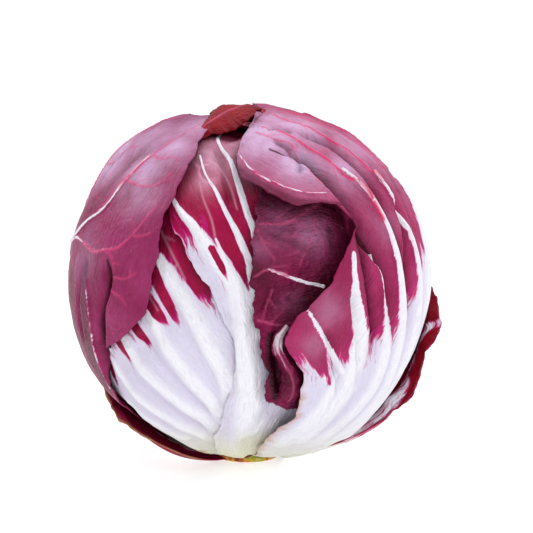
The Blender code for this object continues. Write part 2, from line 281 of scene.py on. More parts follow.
# %% The plan of the outer leaves
LEAF_THICKNESS = 1.1 * MM
LEAF_CLEARANCE = 1.1 * MM
PLAN = {
    "back_right_leaf": {
        "lines": (
            ((60, 12), (62, 24), (72, 34, 2), (78, 46, 4), (80, 58, 5), (82, 68, 3), (86, 77, 4),
             (93, 86, 3)),
            ((82, 12), (86, 34, 1), (92, 54, 2), (96, 72, 2), (104, 92, 1)),
            ((108, 12), (114, 38), (120, 66), (124, 96), (128, 122)),
            ((136, 12), (144, 38), (152, 66), (156, 96), (158, 126)),
            ((164, 12), (176, 34), (186, 58), (190, 84), (186, 110)),
        ),
    },
    "back_left_leaf": {
        "lines": (
            ((-34, 12, 1), (-50, 26, 2), (-62, 35, 2), (-74, 42, 2), (-88, 50, 1), (-104, 60), (-122, 74)),
            ((-76, 12), (-92, 32), (-108, 50), (-120, 70), (-130, 94)),
            ((-112, 12), (-124, 38), (-134, 64), (-140, 92), (-142, 120)),
            ((-146, 12), (-156, 38), (-164, 62), (-168, 86), (-166, 110)),
            ((-174, 12), (-182, 34), (-190, 54), (-194, 74), (-190, 94)),
        ),
    },
    "left_cap_leaf": {
        "lines": (
            ((-98, 12), (-84, 34), (-66, 47), (-58, 60), (-52, 72, 1), (-41, 78, 1), (-33, 84, 1),
             (-30, 92), (-28, 104), (-27, 118), (-24, 130), (-24, 144), (-24, 157), (-20, 169)),
            ((-108, 12), (-98, 42), (-80, 66), (-62, 88), (-48, 110), (-39, 134), (-36, 152), (-34, 168)),
            ((-120, 12), (-108, 44), (-96, 76), (-82, 102), (-60, 118), (-50, 140), (-46, 164)),
            ((-134, 12), (-126, 46), (-118, 82), (-106, 112, 1), (-90, 136, 3), (-66, 158, 2)),
            ((-148, 12), (-148, 44), (-146, 78), (-142, 108), (-130, 134), (-106, 156)),
        ),
    },
    "right_wrapper_leaf": {
        "room": 4.4 * MM,
        "lines": (
            ((8, 12, -0.3), (9, 34, -1.6), (14, 43, -1.2), (19, 53, -0.4), (18, 68), (12, 78, 2),
             (12, 84, 3), (20, 91, 3), (29, 102, 3), (35, 112, 3), (30, 118, 2), (18, 118.5, 2), (7, 123, 1),
             (-3, 132), (-1, 147), (6, 156), (20, 165)),
            ((14, 12), (28, 38), (40, 62), (38, 84), (38, 104), (34, 121), (18, 133), (10, 146), (20, 163),
             (60, 177)),
            ((22, 12), (42, 40), (52, 66), (50, 88), (46, 107), (38, 125), (28, 138), (26, 152), (44, 167),
             (110, 178)),
            ((32, 12), (56, 42), (66, 68), (66, 90), (61, 109), (54, 127), (48, 141), (50, 155), (72, 168),
             (140, 176)),
            ((44, 12), (72, 44), (84, 70), (86, 92), (82, 112), (76, 130), (72, 145), (76, 159), (104, 169),
             (156, 172)),
            ((56, 12), (88, 42), (104, 68), (108, 92), (106, 114), (102, 132), (102, 148), (112, 160),
             (140, 166)),
        ),
    },
    "back_leaf": {
        "lines": (
            ((112, 12), (108, 42), (106, 74), (108, 106), (112, 134), (120, 158)),
            ((132, 12), (128, 44), (128, 78), (130, 112), (136, 142), (150, 170)),
            ((152, 12), (152, 46), (154, 82), (156, 118), (162, 150), (180, 178)),
            ((172, 12), (178, 46), (182, 82), (184, 116), (188, 146), (210, 174)),
            ((192, 12), (204, 44), (210, 76), (212, 106), (214, 134), (222, 160)),
        ),
    },
    "front_dark_leaf": {
        "lines": (
            ((42, 12), (34, 36), (24, 51), (17, 53, 2), (11, 57, 2), (7, 60, 1)),
            ((48, 12), (46, 42), (32, 64), (19, 71), (6, 72, 1)),
            ((54, 12), (56, 52), (44, 84), (24, 93), (3, 86)),
            ((60, 12), (66, 58), (56, 100), (32, 113), (2, 101)),
            ((68, 12), (76, 62), (68, 112), (44, 134), (4, 119)),
            ((72, 12), (84, 64), (80, 116), (50, 145), (8, 136)),
        ),
    },
    "crown_leaf": {
        "lines": (
            ((-156, 12), (-144, 56), (-134, 98), (-120, 136), (-92, 158), (-38, 158)),
            ((-172, 12), (-166, 58), (-160, 102), (-152, 144), (-136, 170), (-26, 160)),
            ((172, 12), (174, 60), (176, 106), (178, 150), (180, 176), (168, 196)),
            ((156, 12), (150, 58), (146, 102), (140, 142), (118, 168), (4, 166)),
            ((140, 12), (128, 54), (120, 94), (110, 130), (92, 154), (46, 166)),
        ),
    },
    "front_centre_leaf": {
        "lines": (
            ((-34, 12, -0.8), (-18, 34, -1.2), (-7, 56, -1.2), (-3, 73, -0.8), (-7, 87), (-12, 96),
             (-20, 107), (-27, 117),
             (-42, 140), (-76, 165)),
            ((-14, 12), (-7, 34), (-3, 54), (-2, 72), (-5, 92), (-14, 107), (-34, 140), (-90, 175)),
            ((6, 12), (7, 44), (4, 76), (-2, 104), (-12, 125), (-12, 152), (-10, 184)),
            ((28, 12), (24, 44), (13, 80), (5, 111), (-3, 134), (4, 156), (60, 177)),
            ((52, 12), (46, 42), (42, 76), (40, 106), (36, 132), (40, 152), (66, 168)),
        ),
    },
    "front_left_leaf": {
        "lines": (
            ((-34, 12), (-37, 27), (-52, 39), (-66, 47), (-84, 62), (-98, 88)),
            ((-26, 12), (-24, 36), (-33, 52), (-49, 60), (-68, 76), (-84, 102)),
            ((-18, 12), (-13, 40), (-22, 59), (-38, 70), (-54, 87), (-68, 114)),
            ((-13, 12), (-6, 43), (-13, 62), (-26, 75), (-39, 93), (-52, 124)),
            ((-8, 12), (0, 46), (-6, 68), (-16, 86), (-28, 104), (-38, 132)),
            ((-3, 12), (10, 48), (6, 74), (-4, 98), (-14, 120), (-22, 144)),
        ),
    },
}
print("outer leaves, outermost first:", ", ".join(PLAN))

# %% [markdown]
# ## Laying the leaves on each other
# How far out does a leaf lie? A simulation could drape it, but a rule is quicker and keeps leaves from
# cutting through each other. Each leaf is pressed in by the leaves over it and, high on the head, also
# rides up a little on those beneath. Beside another leaf the push fades, so a leaf steps out gently.

# %% Laying the leaves on each other
STACK_DEPTH = 4.5 * MM
OUTWARD_SHARE = 0.4
COVER_DEGREES = 5.0
COVER_FADE_DEGREES = 8.0
CROWN_PRESS = 2.6 * MM
BASE_TIGHTNESS = 0.15
PLAN_GRID = (41, 73)
plan_directions = {name: loft_leaf(leaf["lines"], PLAN_GRID)[0] for name, leaf in PLAN.items()}


def degrees_from_leaf(directions, name):
    flat = directions.reshape(-1, 3).astype(np.float32)
    leaf = plan_directions[name].reshape(-1, 3).astype(np.float32)
    nearest = (flat @ leaf.T).max(axis=1)
    return np.degrees(np.arccos(np.clip(nearest, -1, 1))).reshape(directions.shape[:-1])


def cover(directions, name):
    """1 under or over a leaf, fading to 0 beside it. The fade is short at the stem."""
    width = 0.3 + 0.7 * smooth_step((climb_of(directions) - 15) / 30)
    return 1 - smooth_step((degrees_from_leaf(directions, name) / width - COVER_DEGREES) / COVER_FADE_DEGREES)


def room_of(name):
    return PLAN[name].get("room", LEAF_THICKNESS + LEAF_CLEARANCE)


def stacked_radius(name, directions):
    """Distance from the head's centre to a leaf's outside."""
    names = list(PLAN)
    rank = names.index(name)
    ball = HEAD_RADIUS - BASE_HOLLOW * np.exp(-((climb_of(directions) / BASE_HOLLOW_DEGREES) ** 2))
    depth = np.zeros(directions.shape[:-1])
    for other in names[:rank]:
        depth = depth + room_of(other) * cover(directions, other)
    height = np.full(directions.shape[:-1], room_of(name) - LEAF_CLEARANCE)
    for other in names[rank + 1 :]:
        height = height + room_of(other) * cover(directions, other)
    share = OUTWARD_SHARE * smooth_step((climb_of(directions) - 30) / 40)
    depth = depth * (BASE_TIGHTNESS + (1 - BASE_TIGHTNESS) * smooth_step((climb_of(directions) - 12) / 24))
    flat_crown = CROWN_PRESS * smooth_step((climb_of(directions) - 138) / 34)
    return ball - (1 - share) * depth + share * (height - STACK_DEPTH) - flat_crown


def showing(name, directions):
    """1 where no other leaf lies over this one, and 0 under another leaf."""
    names = list(PLAN)
    free = np.ones(directions.shape[:-1])
    for other in names[: names.index(name)]:
        free = free * smooth_step((degrees_from_leaf(directions, other) - 0.6) / 4)
    return free


def nearest_cover(name, directions):
    """Degrees to the nearest leaf that lies over this one."""
    names = list(PLAN)
    near = [degrees_from_leaf(directions, other) for other in names[: names.index(name)]]
    return np.min(near, axis=0) if near else np.full(directions.shape[:-1], 90.0)


plan_near = {name: np.minimum(nearest_cover(name, plan_directions[name]), 12) for name in PLAN}
plan_radius = {name: stacked_radius(name, plan_directions[name]) for name in PLAN}
plan_showing = {name: showing(name, plan_directions[name]) for name in PLAN}
for name in PLAN:
    nearest_mm, farthest_mm = plan_radius[name].min() / MM, plan_radius[name].max() / MM
    print(f"{name}: {nearest_mm:.1f} to {farthest_mm:.1f} mm from the centre")

# %% [markdown]
# ## Strokes: ribs, streaks and folds
# White ribs, magenta streaks and folds all run along lines. One kind of stroke draws them all: a line
# over the head with a half width in millimetres along it, a tone from 0 (red tissue) to 1 (white rib),
# and a height. A fold is a line too, with one steep side and one gentle. Sculpting would do for one
# leaf, but a stroke can be moved or copied to the next one. Later strokes lie over earlier ones.


# %% Strokes
def stroke_mask(directions, places, widths, fade=0):
    """How strongly a stroke covers each direction, and the height profile across it."""
    line = line_over(places, 64)
    distance, share = nearest_on(directions, line)
    half = np.interp(share, np.linspace(0, 1, len(widths)), widths) * MM
    fading = 1 - 0.8 * fade * smooth_step((share - 0.45) / 0.55)
    return (1 - smooth_step(distance / half - 0.5)) * fading, np.exp(-((distance / (1.1 * half)) ** 2))


def fold_depth(directions, places, depth, steep, gentle):
    """A crease: one wall is steep, and on the left of the line the leaf rises gently from it."""
    line = line_over(places, 64)
    distance, share = nearest_on(directions, line)
    points = line[:, :3]
    index = np.clip((share * 63).astype(int), 0, 62)
    tangent = unit(points[1:] - points[:-1])[index]
    side = (np.cross(tangent, directions) * points[index]).sum(-1)
    width = np.where(side > 0, gentle, steep) * MM
    taper = np.clip(np.minimum(share, 1 - share) / 0.18, 0, 1)
    return -depth * MM * smooth_step(taper) * np.exp(-((distance / width) ** 2))


def wander(values, wavelength, seed):
    """Smooth noise from -1 to 1 over a list of lengths, made of a few sine waves."""
    rng = np.random.default_rng(seed)
    total = np.zeros_like(values)
    for octave in range(4):
        wave = wavelength / 1.9**octave
        total += np.sin(values * 2 * math.pi / wave + rng.uniform(0, 6.3)) * 0.55**octave
    return total / 1.8


trial_fold = fold_depth(direction(0, 90)[None], ((0, 60), (0, 120)), 2, 1, 3)
print("a fold 2 mm deep lowers its own line by", (-trial_fold / MM).round(2), "mm")

# %% [markdown]
# ## Building one leaf's sheet
# The sheet has a fine outside and a coarser underside, joined round the rim, so it is closed and has a
# real thickness that thins out towards the margin. A Solidify modifier would be easier, but it would
# double the faces and keep one thickness. The numbers that the finish needs, such as how white a point
# is, are stored on its points as attributes.

# %% Building a leaf's sheet
RAGGED = 0.9 * MM
MARGIN_THICKNESS = 0.45 * MM


def ragged_margin(directions, seed, amount):
    """Moves the margins in and out along the surface, as a leaf's edge is never a clean curve."""
    across_mm, along_mm, _ = sheet_lengths(directions)
    du, dv = unit(np.gradient(directions, axis=0)), unit(np.gradient(directions, axis=1))
    width, length = across_mm[-1:], along_mm[:, -1:]
    first = wander(along_mm[:1], 19, seed) * np.exp(-across_mm / 5)
    last = wander(along_mm[-1:], 17, seed + 1) * np.exp(-(width - across_mm) / 5)
    end = wander(across_mm[:, -1:], 13, seed + 2) * np.exp(-(length - along_mm) / 5)
    grow = smooth_step(along_mm / 30)
    moved = du * ((first + last) * grow)[..., None] + dv * (end * grow)[..., None]
    return unit(directions + moved * amount / HEAD_RADIUS)


def sheet_lengths(directions):
    """Lengths in mm along and across the sheet, and the distance to its nearest margin."""
    across = np.linalg.norm(np.diff(directions, axis=0), axis=-1) * HEAD_RADIUS / MM
    along = np.linalg.norm(np.diff(directions, axis=1), axis=-1) * HEAD_RADIUS / MM
    across = np.concatenate([np.zeros((1, directions.shape[1])), np.cumsum(across, axis=0)])
    along = np.concatenate([np.zeros((directions.shape[0], 1)), np.cumsum(along, axis=1)], axis=1)
    edge = np.minimum(np.minimum(across, across[-1:] - across), along[:, -1:] - along)
    return across, along, edge


def outward_normals(points):
    normals = unit(np.cross(np.gradient(points, axis=0), np.gradient(points, axis=1)))
    facing = (normals * (points - CENTRE)).sum(-1)
    return normals * np.sign(facing.mean())


def grid_faces(across, along, start, turn):
    """Quads over a grid of points whose numbers begin at start."""
    number = start + np.arange(across * along).reshape(across, along)
    quads = np.stack([number[:-1, :-1], number[1:, :-1], number[1:, 1:], number[:-1, 1:]],
                     axis=-1).reshape(-1, 4)
    return (quads[:, ::-1] if turn else quads).tolist()


def rim_numbers(across, along, start):
    number = start + np.arange(across * along).reshape(across, along)
    return np.concatenate([number[:, 0], number[-1, 1:], number[-2::-1, -1], number[0, -2:0:-1]])


def closed_sheet(name, points, thickness, values):
    """A closed mesh from a grid of outside points (odd counts both ways), with values on its points."""
    normals = outward_normals(points)
    inner = (points - normals * thickness[..., None])[::2, ::2]
    across, along = points.shape[:2]
    inner_across, inner_along = inner.shape[:2]
    outer_count = across * along
    du, dv = points[1, 0] - points[0, 0], points[0, 1] - points[0, 0]
    inside_out = np.dot(np.cross(du, dv), normals[0, 0]) < 0
    faces = grid_faces(across, along, 0, inside_out) + grid_faces(inner_across, inner_along, outer_count,
                                                                  not inside_out)
    outer_rim = rim_numbers(across, along, 0)
    inner_rim = rim_numbers(inner_across, inner_along, outer_count)
    for i in range(len(inner_rim)):
        a, b, c = outer_rim[2 * i], outer_rim[2 * i + 1], outer_rim[(2 * i + 2) % len(outer_rim)]
        ring = [int(n) for n in (c, b, a, inner_rim[i], inner_rim[(i + 1) % len(inner_rim)])]
        faces.append(ring[::-1] if inside_out else ring)
    mesh = bpy.data.meshes.new(name)
    mesh.from_pydata(np.concatenate([points.reshape(-1, 3), inner.reshape(-1, 3)]).tolist(), [], faces)
    values = dict(values, out=normals, place=points)
    for key, field in values.items():
        vector = field.ndim == 3
        attribute = mesh.attributes.new(key, "FLOAT_VECTOR" if vector else "FLOAT", "POINT")
        flat = [part.reshape(-1, 3) if vector else part.reshape(-1) for part in (field, field[::2, ::2])]
        attribute.data.foreach_set("vector" if vector else "value",
                                   np.concatenate(flat).astype(np.float32).ravel())
    mesh.shade_smooth()
    return mesh


print("a leaf is", LEAF_THICKNESS / MM, "mm thick and thins out to", MARGIN_THICKNESS / MM,
      "mm at its margin")

# %% [markdown]
# ## Growing the fine veins
# Side veins leave a midrib at a steady spacing, swing towards the leaf's tip and branch again. Drawing
# them by hand would take days, so they are grown: each one steps forward over the ball, turning a
# little at each step. The result is a net of lines, each with its half width.

# %% Growing the veins
VEIN_STEP = 1.2 * MM


def grow_vein(start, heading, length, turn, rng):
    """Directions along a vein that starts at a direction and bends as it goes."""
    points, place, ahead = [start], start, unit(heading)
    for _ in range(int(length / VEIN_STEP)):
        place = unit(place + ahead * VEIN_STEP / HEAD_RADIUS)
        side = np.cross(place, ahead)
        ahead = unit(ahead + side * (turn + rng.normal(0, 0.09)))
        ahead = unit(ahead - place * np.dot(ahead, place))
        points.append(place)
    return np.array(points)


def branch(parent, spacing, angle, length, width, rng, shrink=0.55):
    """Side veins on both sides of a parent vein, as (directions, first half width, last half width)."""
    made = []
    side_sign = 1
    every = max(2, int(spacing / VEIN_STEP))
    for i in range(every // 2, len(parent) - 2, every):
        i = min(len(parent) - 2, i + int(rng.integers(-1, 2)))
        tangent = unit(parent[i + 1] - parent[i])
        side = np.cross(parent[i], tangent) * side_sign
        turn = math.radians(angle + rng.normal(0, 7))
        left = 1 - i / len(parent)
        reach = length * (0.35 + 0.65 * left) * rng.uniform(0.7, 1.2)
        bend = -side_sign * rng.uniform(0.01, 0.05)
        heading = math.cos(turn) * tangent + math.sin(turn) * side
        line = grow_vein(parent[i], heading, reach, bend, rng)
        if len(line) > 2:
            made.append((line, width, width * (1 - shrink)))
        side_sign = -side_sign
    return made


def net_of_veins(mains, side_length, seed, spacing=9 * MM):
    """The main veins, their side veins, and the finer ones on those."""
    rng = np.random.default_rng(seed)
    net = []
    for places, start_width, end_width in mains:
        line = line_over(places, 100)[:, :3]
        length = np.linalg.norm(np.diff(line, axis=0), axis=1).sum() * HEAD_RADIUS
        line = line_over(places, max(6, int(length / VEIN_STEP)))[:, :3]
        net.append((line, start_width, end_width))
        if not side_length:
            continue
        sides = branch(line, spacing, 48, side_length, 0.30, rng)
        net += sides
        for side_line, *_ in sides:
            net += branch(side_line, 5.5 * MM, 55, side_length * 0.35, 0.17, rng)
    return net


def vein_lines(name, net, directions, radius):
    """The net as a mesh of edges lying on the leaf, with each point's half width in metres."""
    flat = directions.reshape(-1, 3).astype(np.float32)
    far = radius.reshape(-1)
    points, edges, widths = [], [], []
    for line, first, last in net:
        at = np.argmax(line.astype(np.float32) @ flat.T, axis=1)
        start = len(points)
        points += (CENTRE + line * far[at][:, None]).tolist()
        edges += [(start + i, start + i + 1) for i in range(len(line) - 1)]
        widths += (np.linspace(first, last, len(line)) * MM).tolist()
    mesh = bpy.data.meshes.new(name)
    mesh.from_pydata(points, edges, [])
    mesh.attributes.new("half_width", "FLOAT", "POINT").data.foreach_set("value", widths)
    return bpy.data.objects.new(name, mesh)


print("a short net has", len(net_of_veins([(((0, 60), (0, 120)), 1, 0.3)], 20 * MM, 1)), "veins")

# %% [markdown]
# ## The leaf surface, in Geometry Nodes
# Veins stand proud of the sheet and the tissue between them is crinkled. Both follow the surface, so
# Geometry Nodes make them: the tree measures how far each point is from the net of veins, raises it
# there, and shifts the rest by noise. It also stores what it measured, for the material to paint.

# %% The leaf surface tree
THINNEST_VEIN = 0.34 * MM
VEIN_SLOPE = -0.8

tree = bpy.data.node_groups.new("leaf_surface", "GeometryNodeTree")
tree.interface.new_socket("Geometry", in_out="INPUT", socket_type="NodeSocketGeometry")
for socket, kind in (
    ("Vein lines", "NodeSocketObject"),
    ("Vein height", "NodeSocketFloat"),
    ("Crinkle depth", "NodeSocketFloat"),
    ("Crinkle size", "NodeSocketFloat"),
    ("Seed", "NodeSocketFloat"),
    ("Finish", "NodeSocketMaterial"),
):
    tree.interface.new_socket(socket, in_out="INPUT", socket_type=kind)
tree.interface.new_socket("Geometry", in_out="OUTPUT", socket_type="NodeSocketGeometry")

into = add_node(tree, "NodeGroupInput").outputs
lines_in = add_node(tree, "GeometryNodeObjectInfo", {"Object": into["Vein lines"]}).outputs["Geometry"]
proximity = add_node(tree, "GeometryNodeProximity", {0: lines_in}, target_element="EDGES")
here = add_node(tree, "GeometryNodeInputPosition").outputs[0]
nearest = add_node(tree, "GeometryNodeSampleNearest", {"Geometry": lines_in, "Sample Position": here},
                   domain="POINT")
half_width = add_node(tree, "GeometryNodeInputNamedAttribute", {"Name": "half_width"}, data_type="FLOAT")
widths_on_lines = {"Geometry": lines_in, "Value": half_width.outputs[0], "Index": nearest.outputs[0]}
sampled = add_node(tree, "GeometryNodeSampleIndex", widths_on_lines)
widest = add_node(tree, "ShaderNodeMath", {0: sampled.outputs[0], 1: THINNEST_VEIN}, operation="MAXIMUM")
ratio = add_node(tree, "ShaderNodeMath", {0: proximity.outputs["Distance"], 1: widest.outputs[0]},
                 operation="DIVIDE")
square = add_node(tree, "ShaderNodeMath", {0: ratio.outputs[0], 1: ratio.outputs[0]}, operation="MULTIPLY")
falling = add_node(tree, "ShaderNodeMath", {0: square.outputs[0], 1: VEIN_SLOPE}, operation="MULTIPLY")
vein = add_node(tree, "ShaderNodeMath", {0: falling.outputs[0]}, operation="EXPONENT")
by_width = {"From Min": 0.1 * MM, "From Max": 0.5 * MM, "To Min": 0.1, "To Max": 1.0}
strength = add_node(tree, "ShaderNodeMapRange", {"Value": sampled.outputs[0], **by_width})
vein = add_node(tree, "ShaderNodeMath", {0: vein.outputs[0], 1: strength.outputs[0]}, operation="MULTIPLY")
to_store = {"Geometry": into["Geometry"], "Name": "vein", "Value": vein.outputs[0]}
stored = add_node(tree, "GeometryNodeStoreNamedAttribute", to_store, data_type="FLOAT", domain="POINT")
on_points = {
    key: add_node(tree, "GeometryNodeInputNamedAttribute", {"Name": key}, data_type=kind).outputs[0]
    for key, kind in (("place", "FLOAT_VECTOR"), ("out", "FLOAT_VECTOR"), ("crinkle", "FLOAT"),
                      ("free", "FLOAT"))
}
frequency = add_node(tree, "ShaderNodeMath", {0: 1.0, 1: into["Crinkle size"]}, operation="DIVIDE")
crumpled = {"Vector": on_points["place"], "W": into["Seed"], "Detail": 4.0, "Roughness": 0.58}
crumpled["Scale"] = frequency.outputs[0]
noise = add_node(tree, "ShaderNodeTexNoise", crumpled, noise_dimensions="4D")
bumps = add_node(tree, "ShaderNodeMath", {0: noise.outputs[0], 1: 0.5}, operation="SUBTRACT")
bumps = add_node(tree, "ShaderNodeMath", {0: bumps.outputs[0], 1: into["Crinkle depth"]},
                 operation="MULTIPLY")
bumps = add_node(tree, "ShaderNodeMath", {0: bumps.outputs[0], 1: on_points["crinkle"]}, operation="MULTIPLY")
raised = add_node(tree, "ShaderNodeMath", {0: vein.outputs[0], 1: into["Vein height"]}, operation="MULTIPLY")
total = add_node(tree, "ShaderNodeMath", {0: bumps.outputs[0], 1: raised.outputs[0]}, operation="ADD")
total = add_node(tree, "ShaderNodeMath", {0: total.outputs[0], 1: on_points["free"]}, operation="MULTIPLY")
outwards = {0: on_points["out"], "Scale": total.outputs[0]}
offset = add_node(tree, "ShaderNodeVectorMath", outwards, operation="SCALE")
shifted = {"Geometry": stored.outputs[0], "Offset": offset.outputs[0]}
moved = add_node(tree, "GeometryNodeSetPosition", shifted)
real = add_node(tree, "GeometryNodeRealizeInstances", {"Geometry": moved.outputs[0]})
painted = add_node(tree, "GeometryNodeSetMaterial", {"Geometry": real.outputs[0], "Material": into["Finish"]})
add_node(tree, "NodeGroupOutput", {0: painted.outputs[0]})
socket_ids = {item.name: item.identifier for item in tree.interface.items_tree if item.in_out == "INPUT"}
print("leaf surface inputs:", ", ".join(socket_ids))


def with_surface(name, mesh, lines, finish, **settings):
    """The piece that the tree makes from a sheet, as a plain mesh."""
    raw = bpy.data.objects.new(name + "_sheet", mesh)
    bpy.context.scene.collection.objects.link(raw)
    modifier = raw.modifiers.new("leaf_surface", "NODES")
    modifier.node_group = tree
    settings = {"Vein lines": lines, "Finish": finish, **settings}
    for socket, value in settings.items():
        modifier[socket_ids[socket]] = value
    bpy.context.view_layer.update()
    graph = bpy.context.evaluated_depsgraph_get()
    made = bpy.data.meshes.new_from_object(raw.evaluated_get(graph))
    made.name = name + "_tissue"
    bpy.data.objects.remove(raw)
    piece = bpy.data.objects.new(name + "_tissue", made)
    bpy.context.scene.collection.objects.link(piece)
    return piece


# %% [markdown]
# ## The leaf finish
# Radicchio tissue is red where its cells hold pigment and white along the ribs, and between the two
# the red thins out through pink and violet. So one number, white, drives a ramp of colours, and noise
# stretched along the ribs frays the border into streaks. A painted image could hold the same border,
# but it would blur close up and need a new one for each leaf. The wax gives the tissue a satin gloss.

# %% The leaf finish
STREAK_WIDTH = 1.5
STREAK_LENGTH = 13.0
FIBRES_PER_STREAK = 3.3
CLOUD_SIZE = 16.7 * MM
CELL_SIZE = 2.63 * MM
BUMP_HEIGHT = 0.5 * MM
RIB_WHITE = "#eae9f1"
GROOVE_SHADE_AND_FIBRE_LILAC = "#d3cce2"
BASE_GREEN = "#e4e3c6"
DRY_TAN = "#bd8458"


def leaf_finish(name, tissue, shade, fringe, vein, bloom_and_sheen, deep, roughness=0.38, gloss=0.1, fray=0.5,
                bump=0.7):
    """Waxy tissue in two tones that thins over the fringe to white, under painted sheen and painted shade."""
    made = bpy.data.materials.new(name)
    made.use_nodes = True
    nodes = made.node_tree
    shader = nodes.nodes["Principled BSDF"]
    stored = {
        key: add_node(nodes, "ShaderNodeAttribute", attribute_name=key).outputs["Fac"]
        for key in ("white", "groove", "green", "bloom_and_sheen", "vein", "deep", "dry")
    }
    along = add_node(nodes, "ShaderNodeAttribute", attribute_name="streak").outputs["Vector"]
    place = add_node(nodes, "ShaderNodeTexCoord").outputs["Object"]
    noises = {
        "streaks": {"Vector": along, "Scale": 1.0, "Detail": 4.0},
        "fibres": {"Vector": along, "Scale": FIBRES_PER_STREAK, "Detail": 3.0, "Distortion": 0.4},
        "clouds": {"Vector": place, "Scale": 1 / CLOUD_SIZE, "Detail": 5.0, "Roughness": 0.6},
    }
    noise = {key: add_node(nodes, "ShaderNodeTexNoise", made_of).outputs["Fac"] for key,
             made_of in noises.items()}

    frayed = stored["white"]
    for key, reach in (("streaks", fray), ("fibres", 0.3)):
        spread_out = {"Value": noise[key], "From Min": 0.3, "From Max": 0.7, "To Min": -reach,
                      "To Max": reach}
        push = add_node(nodes, "ShaderNodeMapRange", spread_out).outputs[0]
        frayed = add_node(nodes, "ShaderNodeMath", {0: frayed, 1: push}, operation="ADD").outputs[0]

    # Each share of a colour is a noise or the frayed white, from one range to another.
    ranges = {
        "mottled": (noise["clouds"], 0.32, 0.68, 0.0, 1.0),
        "fibrous": (noise["fibres"], 0.45, 0.75, 0.0, 0.35),
        "patchy": (noise["clouds"], 0.25, 0.65, 0.35, 1.2),
        "grooved": (noise["fibres"], 0.52, 0.72, 0.0, 0.45),
        "thinning": (frayed, 0.02, 0.48, 0.0, 1.0),
        "whitening": (frayed, 0.46, 1.0, 0.0, 1.0),
        "shaded": (frayed, 0.5, 1.0, 1.0, 0.14),
    }
    share = {}
    for key, (value, low, high, to_low, to_high) in ranges.items():
        settings = {"Value": value, "From Min": low, "From Max": high, "To Min": to_low, "To Max": to_high}
        share[key] = add_node(nodes, "ShaderNodeMapRange", settings).outputs[0]
    # The painted sheen comes in patches, and the painted shade is weaker on the white ribs.
    for key, field in (("patchy", "bloom_and_sheen"), ("shaded", "deep")):
        both = {0: stored[field], 1: share[key]}
        share[key] = add_node(nodes, "ShaderNodeMath", both, operation="MULTIPLY").outputs[0]

    # The rib's grey lilac in its grooves is painted shade; its fibre streaks share that colour. On the skin,
    # the third coat is painted sheen, and the coat before the dry rim is painted shade.
    layers = {
        "rib": (RIB_WHITE, (stored["groove"], GROOVE_SHADE_AND_FIBRE_LILAC), (stored["green"], BASE_GREEN),
                (share["grooved"], GROOVE_SHADE_AND_FIBRE_LILAC)),
        "skin": (shade, (share["mottled"], tissue), (share["fibrous"], shade), (share["patchy"], bloom_and_sheen),
                 (share["thinning"], fringe), (share["whitening"], "rib"), (stored["vein"], vein),
                 (share["shaded"], deep), (stored["dry"], DRY_TAN)),
    }
    tones = {}
    for key, (base, *coats) in layers.items():
        tone = linear(base)
        for amount, coat in coats:
            colours = {"Fac": amount, "Color1": tone,
                       "Color2": tones[coat] if coat in tones else linear(coat)}
            tone = add_node(nodes, "ShaderNodeMixRGB", colours).outputs[0]
        tones[key] = tone
    nodes.links.new(tones["skin"], shader.inputs["Base Color"])

    grain = {"Vector": place, "Scale": 1 / CELL_SIZE}
    relief = add_node(nodes, "ShaderNodeTexVoronoi", grain, feature="DISTANCE_TO_EDGE").outputs["Distance"]
    for key, amount in (("fibres", 1.4), ("clouds", 2.5), ("streaks", 2.0)):
        part = {0: noise[key], 1: amount, 2: relief}
        relief = add_node(nodes, "ShaderNodeMath", part, operation="MULTIPLY_ADD").outputs[0]
    raised = {"Strength": bump, "Distance": BUMP_HEIGHT, "Height": relief}
    nodes.links.new(add_node(nodes, "ShaderNodeBump", raised).outputs[0], shader.inputs["Normal"])
    shader.inputs["Roughness"].default_value = roughness
    shader.inputs["Specular IOR Level"].default_value = gloss
    return made


print("ribs are", RIB_WHITE, "and turn to", BASE_GREEN, "at the stem")

# %% [markdown]
# ## From plan to piece
# These functions take one leaf from the plan through every step: loft, ragged margin, stacking,
# strokes, relief, closed sheet, veins and finish. Nine scripts could do it, one for each leaf, but the
# steps are the same, so each leaf's own cell below only says what is special about it.

# %% From plan to piece
DETAIL = 1.0
# White runs this far past 0 and 1, which keeps frayed streaks out of what is surely red or white.
SURE = 0.8
# Widths and lengths over a leaf are in millimetres from here on, like across_mm and along_mm.
# Painted shade: how dark a leaf is painted beside a leaf that lies over it, and in its folds.
OVERLAP_SHADE = 0.62
SHADE_DEGREES = 4.5
FOLD_SHADE = 0.9
FULL_SHADE_DEPTH = 3
LIMP_WIDTH = 3.5
THINNING_WIDTH = 5
DRY_WIDTH = 3.0
HIDDEN_RELIEF = 0.12


def fine_grid(across, along):
    """Odd counts, so that the underside can take every second point."""
    return 2 * int(across * DETAIL / 2) + 1, 2 * int(along * DETAIL / 2) + 1


def spread(field, grid):
    """A field on the plan's grid, as a smooth field on a finer one."""
    rows = through(field, np.linspace(0, 1, grid[0]))
    return through(np.swapaxes(rows, 0, 1), np.linspace(0, 1, grid[1])).swapaxes(0, 1)


